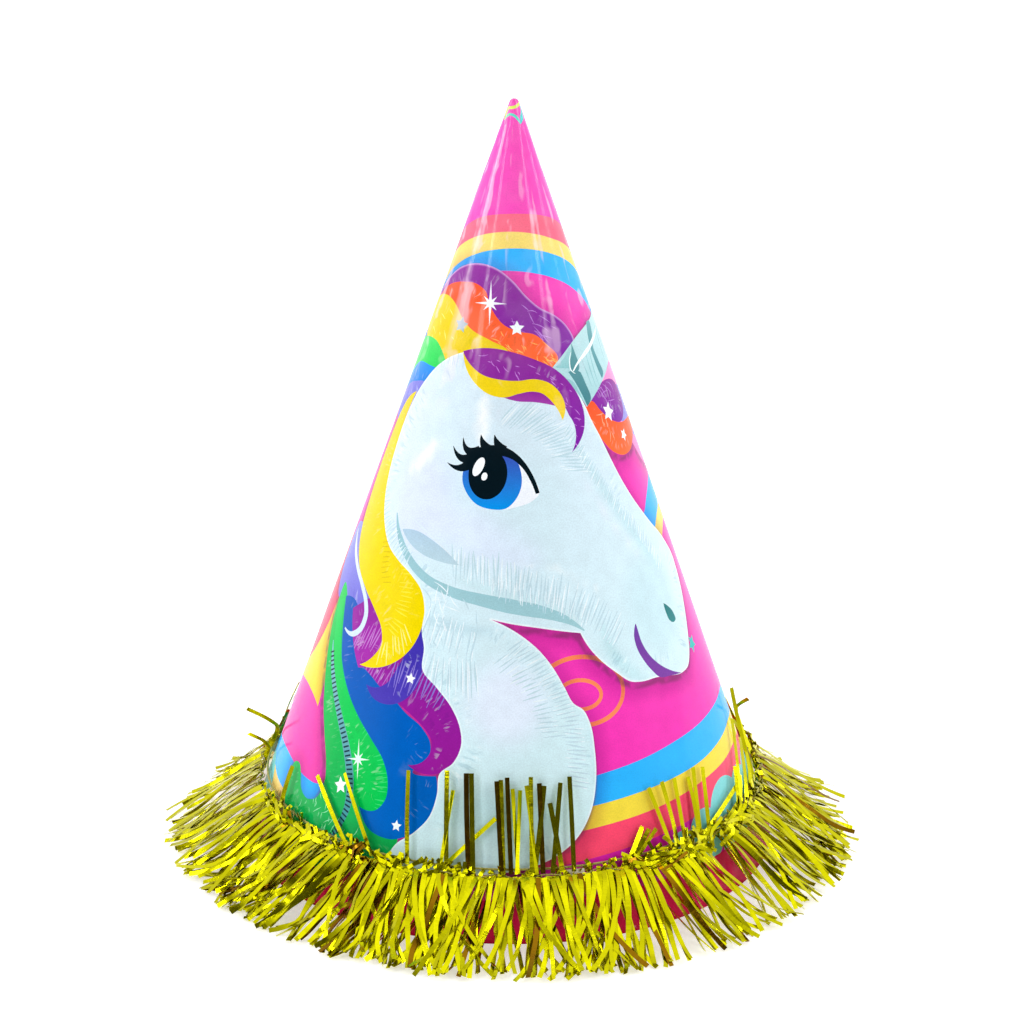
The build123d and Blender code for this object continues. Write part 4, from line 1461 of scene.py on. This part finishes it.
def make_hanging(material):
    """Every tuft of hanging strands, one piece for each CAD tuft."""
    rng = np.random.default_rng(11)
    tufts = [Strands() for _ in range(TUFT_COUNT)]
    phases = rng.uniform(0, 2 * math.pi, 6)
    for layer, pitch in enumerate(LAYER_PITCHES):
        bearing = -180.0
        radius = HEADING_SLANT * SIN
        while bearing < 180.0:
            turn = math.radians(bearing)
            drift = 3.5 * math.sin(5 * turn + phases[layer])
            drift += 3 * math.sin(11 * turn + phases[layer + 3])
            # where strands are missing: one open gap, and a few thinner places
            gap = 0.92 * near(bearing, 51, 4.5)
            gap += 0.2 * near(bearing, 22, 30)
            gap += 0.45 * near(abs(bearing), 126, 24)
            gap += 0.4 * near(bearing, -84, 9)
            if rng.uniform() > gap:
                tuft = int((bearing % 360) // (360 / TUFT_COUNT))
                hanging_strand(rng, tufts[tuft], bearing + rng.normal(0, 0.15), layer, drift)
            dense = 1 - 0.22 * near(bearing, -18, 24)
            bearing += math.degrees(dense * pitch * rng.uniform(0.8, 1.25) / radius)
    for number, tuft in enumerate(tufts, start=1):
        piece = tuft.build(f"tinsel_tuft_{number:02d}", material)
        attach(piece, "root")
        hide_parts(f"fringe_tuft_{number:02d}")


# Strands that stand up in front, drawn on the flat blank: foot x, top x, top d,
# the bearing that the broad side looks to, and tone
FRONT_STRANDS = {
    1: [(-1.6, -2.8, 150.6, 7, 0.05), (-1.2, -1.9, 150.3, -22, 0.4), (0.4, -0.6, 149.8, 4, 0.05),
        (1.9, 0.6, 152.2, 35, 0.9), (1.6, 2.2, 152.6, 37, 0.95), (5.9, 3.5, 151.5, 35, 0.9),
        (4.8, 4.4, 149.6, -22, 0.4), (7.2, 6.2, 151, 14, 0.05), (5.4, 7.3, 151.6, 6, 0.3),
        (11.4, 8.6, 155.4, 8, 0.4), (9.2, 10.9, 151, 6, 0.3), (13.8, 12.9, 149.7, 4, 0.3)],
    2: [(26.2, 30, 161.2, 22, 0.4), (27, 31.4, 161.8, 14, 0.3), (27.8, 33.2, 161.8, 34, 0.5),
        (30, 34.6, 165.2, 40, 0.5)],
    3: [(37.6, 31.8, 152.8, 42, 0.7), (39.6, 34.8, 151.6, 44, 0.5), (41.6, 39.2, 151, 42, 0.8),
        (45.6, 43.6, 151, 40, 0.5), (46.4, 45.2, 149, 44, 0.7), (49, 48.6, 149, 43, 0.6),
        (46, 61.6, 154, 44, 0.9)],
    4: [(54.5, 63, 157, 48, 0.8), (61, 62.2, 149.4, 44, 0.4), (61.6, 64.6, 151.4, 36, 0.3),
        (62, 67.4, 138.4, 50, 0.5), (66, 70.4, 145, 52, 0.7), (66.6, 71.8, 142.6, 60, 0.4),
        (68, 77.4, 148.6, 44, 0.6), (70.6, 74.6, 146, 52, 0.8)],
    9: [(-62, -59, 149.8, -42, 0.9), (-53, -61, 169.2, -40, 0.8)],
    10: [(-37.6, -48.4, 151.4, -42, 0.95), (-31, -39.4, 150.4, -43, 0.95)],
    11: [(-22.3, -22.2, 148.8, -36, 0.6)],
    12: [(-14.9, -12.2, 152.8, -42, 0.7), (-13.4, -13.5, 148.5, -20, 0.5), (-8.7, -9.3, 149, 7, 0.02),
         (-7.7, -8.2, 149, 2, 0.3), (-15, -3, 158.8, -40, 0.8)],
}
# Sprays round the back: the CAD node's number, its middle bearing, its arc and its number of strands
BACK_SPRAYS = [(5, 106.0, 10.0, 6), (6, 143.0, 9.0, 5), (7, -152.0, 10.0, 6), (8, -106.0, 12.0, 6)]


def bent_path(corners, count=14):
    """Points along a polyline with its corners softened."""
    corners = np.array(corners)
    travelled = travel(corners)
    fine = np.linspace(0, travelled[-1], 8 * count)
    path = np.stack([np.interp(fine, travelled, corners[:, k]) for k in range(3)], 1)
    blur = np.ones(15) / 15
    padded = np.vstack([np.repeat(path[:1], 7, 0), path, np.repeat(path[-1:], 7, 0)])
    path = np.stack([np.convolve(padded[:, k], blur, "valid") for k in range(3)], 1)
    return path[np.linspace(0, len(path) - 1, count).astype(int)]


# Strands that stand up and then bend away from the card: the CAD node's number, where the
# broad side looks, then slant, height off the card and bearing of each point
BENT_STRANDS = [
    (8, (-0.2, -0.96, -0.15), [
        (171, 1.5, -99), (165, 1.0, -97), (162.5, 1.4, -95), (161.2, 5.0, -94), (160.2, 9.6, -93),
    ]),
    (8, (-0.3, -0.94, -0.15), [(171, 1.5, -94), (167.6, 1.6, -93), (166.0, 3.4, -92), (164.6, 7.4, -90)]),
    (4, (0.5, -0.8, 0.3), [
        (171, 1.5, 97), (163, 1.1, 94), (155.5, 1.3, 91), (154.2, 3.0, 90), (153.4, 5.4, 89),
    ]),
    (4, (0.6, -0.8, 0.2), [(171, 1.5, 82), (163, 1.2, 85), (156, 1.5, 88), (149.6, 2.2, 90)]),
]


def standing_strand(rng, strands, foot, top, lean, look, tone):
    """A nearly straight strand from the heading to a place above the card.

    foot is a bearing, top a slant and a bearing, lean the top's height off the card, and look
    the bearing that the broad side faces.
    """
    count = STANDING_POINTS
    foot_point = wall_point(HEADING_SLANT - 0.6, 1.3 + rng.uniform(0, 0.8), foot)
    top_point = wall_point(top[0], lean, top[1])
    path = foot_point + (top_point - foot_point) * np.linspace(0, 1, count)[:, None]
    slant = (APEX_HEIGHT - path[:, 2]) / COS
    outward = outwards(path)
    clear = np.maximum(0, slant * SIN + 0.7 - np.hypot(path[:, 0], path[:, 1]))
    path += outward * clear[:, None]
    bow = np.sin(np.linspace(0, math.pi, count)) * rng.normal(0, 0.25)
    path += outward * np.abs(bow)[:, None]
    facing = outward * COS + np.array([0, 0, SIN])
    turn = look - 0.5 * (foot + top[1]) + wander(rng, count, 3, 4)
    width = STRAND_WIDTH * rng.uniform(0.95, 1.08)
    strands.ribbon(path, turned(facing, directions(path), turn), width, tone)


def make_standing(material):
    """The sprays that stand up from the heading, one piece for each CAD spray."""
    rng = np.random.default_rng(23)
    sprays = {}
    for number, rows in FRONT_STRANDS.items():
        spray = sprays.setdefault(number, Strands())
        for foot_x, top_x, top_d, twist, tone in rows:
            foot = math.degrees(math.atan2(foot_x, math.sqrt(HEADING_SLANT**2 - foot_x**2))) / SIN
            top_slant = math.hypot(top_x, top_d)
            top_bearing = math.degrees(math.atan2(top_x, top_d)) / SIN
            top, lean = (top_slant, top_bearing), rng.uniform(0.8, 1.8)
            standing_strand(rng, spray, foot, top, lean, twist, tone)
    for number, look, points in BENT_STRANDS:
        path = bent_path([wall_point(slant, height, bearing) for slant, height, bearing in points])
        facing = np.broadcast_to(look, path.shape)
        sprays.setdefault(number, Strands()).ribbon(path, facing, STRAND_WIDTH, 0.8)
    for number, middle, arc, count in BACK_SPRAYS:
        spray = sprays.setdefault(number, Strands())
        for _ in range(count):
            foot = middle + rng.uniform(-0.5, 0.5) * arc
            top = (rng.uniform(154, 164), foot + math.copysign(8, middle) + rng.normal(0, 4))
            lean = rng.uniform(0.8, 1.8)
            look = foot + rng.normal(0, 30)
            standing_strand(rng, spray, foot, top, lean, look, rng.uniform(0, 1))
    for number, spray in sorted(sprays.items()):
        piece = spray.build(f"tinsel_spray_{number:02d}", material)
        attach(piece, "root")
        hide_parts(f"standing_strands_{number:02d}")


def tangle(bearing):
    """How loose and thick the heading is at a bearing, 0 to 1."""
    mounds = ((38, 12, 1.0), (58, 8, 0.9), (75, 10, 0.6), (-38, 20, 0.7), (-64, 9, 0.6), (-18, 6, 0.4),
              (110, 14, 0.6), (150, 12, 0.7), (-165, 14, 0.6), (-125, 16, 0.7))
    return min(1.0, sum(high * near(bearing, middle, width) for middle, width, high in mounds))


def make_heading(material):
    """The bound heading: short folded ends of strands, crushed flat round the stitching."""
    rng = np.random.default_rng(5)
    strands = Strands()
    count = HEADING_POINTS
    for _ in range(HEADING_TRIES):
        bearing = rng.uniform(-180, 180)
        clump = tangle(bearing)
        bare = 0.35 * near(bearing, -84, 13)
        if rng.uniform() > 0.45 - bare + 0.55 * clump:
            continue
        middle = HEADING_SLANT + rng.normal(0, 0.5)
        length = rng.uniform(2.4, 4.2) + clump * rng.uniform(2, 9)
        lean = rng.normal(0, 24 + 38 * clump)
        offsets = np.linspace(-0.5, 0.5, count) * length
        along = offsets * math.sin(math.radians(lean)) + wander(rng, count, 0.2 + 0.9 * clump, 4)
        down = offsets * math.cos(math.radians(lean)) * 0.75 + wander(rng, count, 0.3, 3)
        height = 0.9 + (0.9 + 3.2 * clump) * rng.uniform(0.1, 1.0) + wander(rng, count, 0.35, 5)
        height = np.maximum(height, 0.55)
        path = np.array([
            wall_point(middle + d, h, bearing + math.degrees(a / (HEADING_SLANT * SIN)))
            for a, d, h in zip(along, down, height)
        ])
        outward = outwards(path)
        facing = outward * COS + np.array([0, 0, SIN])
        twist = rng.normal(0, 24) + wander(rng, count, 7, 4)
        width = STRAND_WIDTH * rng.uniform(0.7, 0.95)
        strands.ribbon(path, turned(facing, directions(path), twist), width, strand_tone(rng))
    piece = strands.build("crumpled_heading", material)
    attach(piece, "root")
    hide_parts("foil_heading")


def make_stitching(material):
    """The thread over the heading: two plies twisted round each other, dipping at each stitch."""
    points, faces = [], []
    sides, steps = 6, 1440
    ply_radius, ply_offset = 0.09, 0.08
    twists, stitches = 180, 48
    for ply in (0, 1):
        first = len(points)
        for i in range(steps):
            bearing = 360 * i / steps
            turn = 2 * math.pi * i / steps
            twist = turn * twists + math.pi * ply
            dip = 0.75 * math.sin(turn * stitches) + 0.3 * math.sin(turn * 17)
            slant = HEADING_SLANT + 0.5 * math.sin(turn * 31) + ply_offset * math.cos(twist)
            height = 2.0 + dip + ply_offset * math.sin(twist)
            for k in range(sides):
                a = 2 * math.pi * k / sides
                place = slant + ply_radius * math.cos(a), height + ply_radius * math.sin(a)
                points.append(wall_point(*place, bearing))
        for i in range(steps):
            for k in range(sides):
                a, b = first + i * sides, first + ((i + 1) % steps) * sides
                faces.append((a + k, b + k, b + (k + 1) % sides, a + (k + 1) % sides))
    piece = mesh_object("stitching_thread", points, faces, [material])
    piece.data.polygons.foreach_set("use_smooth", [True] * len(faces))
    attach(piece, "root")
    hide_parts("binding_thread_outer")


# ---------------------------------------------------------------------------------------
# Camera, lights and floor

CAMERA_DISTANCE = 1.0
CAMERA_ELEVATION = 21.331
CAMERA_ROLL = 0.366
CAMERA_LENS = 156.75
CAMERA_AIM = Vector((0.00009, 0.0, 0.07778))
LIGHT_AIM = Vector((0, 0, 0.08))
# the surroundings are white but for a dark side behind the camera
DARK_SIDE = (0.0, -0.996, 0.087)
FADE_RANGE = (0.05, 0.55)
SURROUND_LIGHT, DARK_SIDE_LIGHT, BACKDROP_LIGHT = 1.0, 0.09, 1.1


def make_camera():
    """The camera in front of the hat, a little above it."""
    data = bpy.data.cameras.new("camera")
    data.lens = CAMERA_LENS
    data.sensor_width = 36.0
    data.clip_start, data.clip_end = 0.01, 50.0
    camera = bpy.data.objects.new("camera", data)
    lift = math.radians(CAMERA_ELEVATION)
    back = Vector((0, -math.cos(lift), math.sin(lift)))
    camera.location = CAMERA_AIM + back * CAMERA_DISTANCE
    level = Euler((math.pi / 2 - lift, 0, 0)).to_matrix()
    camera.rotation_euler = (level @ Matrix.Rotation(math.radians(CAMERA_ROLL), 3, "Z")).to_euler()
    bpy.context.scene.collection.objects.link(camera)
    bpy.context.scene.camera = camera


def make_light(name, azimuth, elevation, distance, width, height, power):
    """A softbox at an azimuth from the front, facing the hat."""
    data = bpy.data.lights.new(name, "AREA")
    data.shape = "RECTANGLE"
    data.size, data.size_y = width, height
    data.energy = power
    turn, lift = math.radians(azimuth), math.radians(elevation)
    level = math.cos(lift)
    where = Vector((math.sin(turn) * level, -math.cos(turn) * level, math.sin(lift))) * distance
    light = bpy.data.objects.new(name, data)
    light.location = where + LIGHT_AIM
    light.rotation_euler = where.to_track_quat("Z", "Y").to_euler()
    bpy.context.scene.collection.objects.link(light)


def make_stage():
    """A plain white floor, white surroundings with a dark side behind the camera, and softboxes."""
    bpy.ops.mesh.primitive_plane_add(size=8.0, location=(0, 0, 0))
    floor = bpy.context.object
    floor.name = "floor"
    n = Nodes("white_floor")
    floor.data.materials.append(n.finish(
        Base_Color=(0.85, 0.85, 0.85, 1.0),
        Roughness=0.8,
        Specular_IOR_Level=0.1,
        Emission_Color=(1.0, 1.0, 1.0, 1.0),
        Emission_Strength=0.5,
    ))
    world = bpy.data.worlds.new("studio")
    world.use_nodes = True
    bpy.context.scene.world = world
    # surroundings fade from the back to the dark side, and the camera itself sees plain white
    tree = world.node_tree
    background = tree.nodes["Background"]
    direction = tree.nodes.new("ShaderNodeTexCoord").outputs["Generated"]
    towards = tree.nodes.new("ShaderNodeVectorMath")
    towards.operation = "DOT_PRODUCT"
    towards.inputs[1].default_value = DARK_SIDE
    tree.links.new(direction, towards.inputs[0])
    ramp = tree.nodes.new("ShaderNodeMapRange")
    ramp.interpolation_type = "SMOOTHSTEP"
    for socket, value in zip(ramp.inputs[1:], (*FADE_RANGE, SURROUND_LIGHT, DARK_SIDE_LIGHT)):
        socket.default_value = value
    tree.links.new(towards.outputs["Value"], ramp.inputs[0])
    rays = tree.nodes.new("ShaderNodeLightPath")
    strength = tree.nodes.new("ShaderNodeMix")
    tree.links.new(rays.outputs["Is Camera Ray"], strength.inputs["Factor"])
    tree.links.new(ramp.outputs["Result"], strength.inputs["A"])
    strength.inputs["B"].default_value = BACKDROP_LIGHT
    tree.links.new(strength.outputs["Result"], background.inputs["Strength"])
    background.inputs["Color"].default_value = (1, 1, 1, 1)
    make_light("strip_left", -50, 27.4, 1.46, 0.24, 0.6, 4.6)
    make_light("strip_right", 53, 27.4, 1.46, 0.26, 0.6, 4.7)
    make_light("side_left", -92, 24, 1.4, 0.26, 0.7, 4.8)
    make_light("side_right", 98, 24, 1.4, 0.26, 0.7, 3.4)
    make_light("top", -15, 76, 1.5, 1.9, 1.9, 4.8)


# ---------------------------------------------------------------------------------------
# The hat

make_camera()
make_stage()
gloss_print, plain_card, gold_foil = print_material(), card_material(), foil_material()
thread, glue = thread_material(), glue_material()
card = make_card([gloss_print, plain_card])
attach(card, "root")
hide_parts("cone_card")
make_hanging(gold_foil)
make_standing(gold_foil)
make_heading(gold_foil)
make_stitching(thread)
for node, material in (("seam_glue", glue), ("glue_dots", glue), ("binding_thread_inner", thread)):
    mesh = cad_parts[node].data
    mesh.materials.clear()
    mesh.materials.append(material)

bpy.context.scene.view_settings.view_transform = "Standard"
bpy.context.view_layer.update()
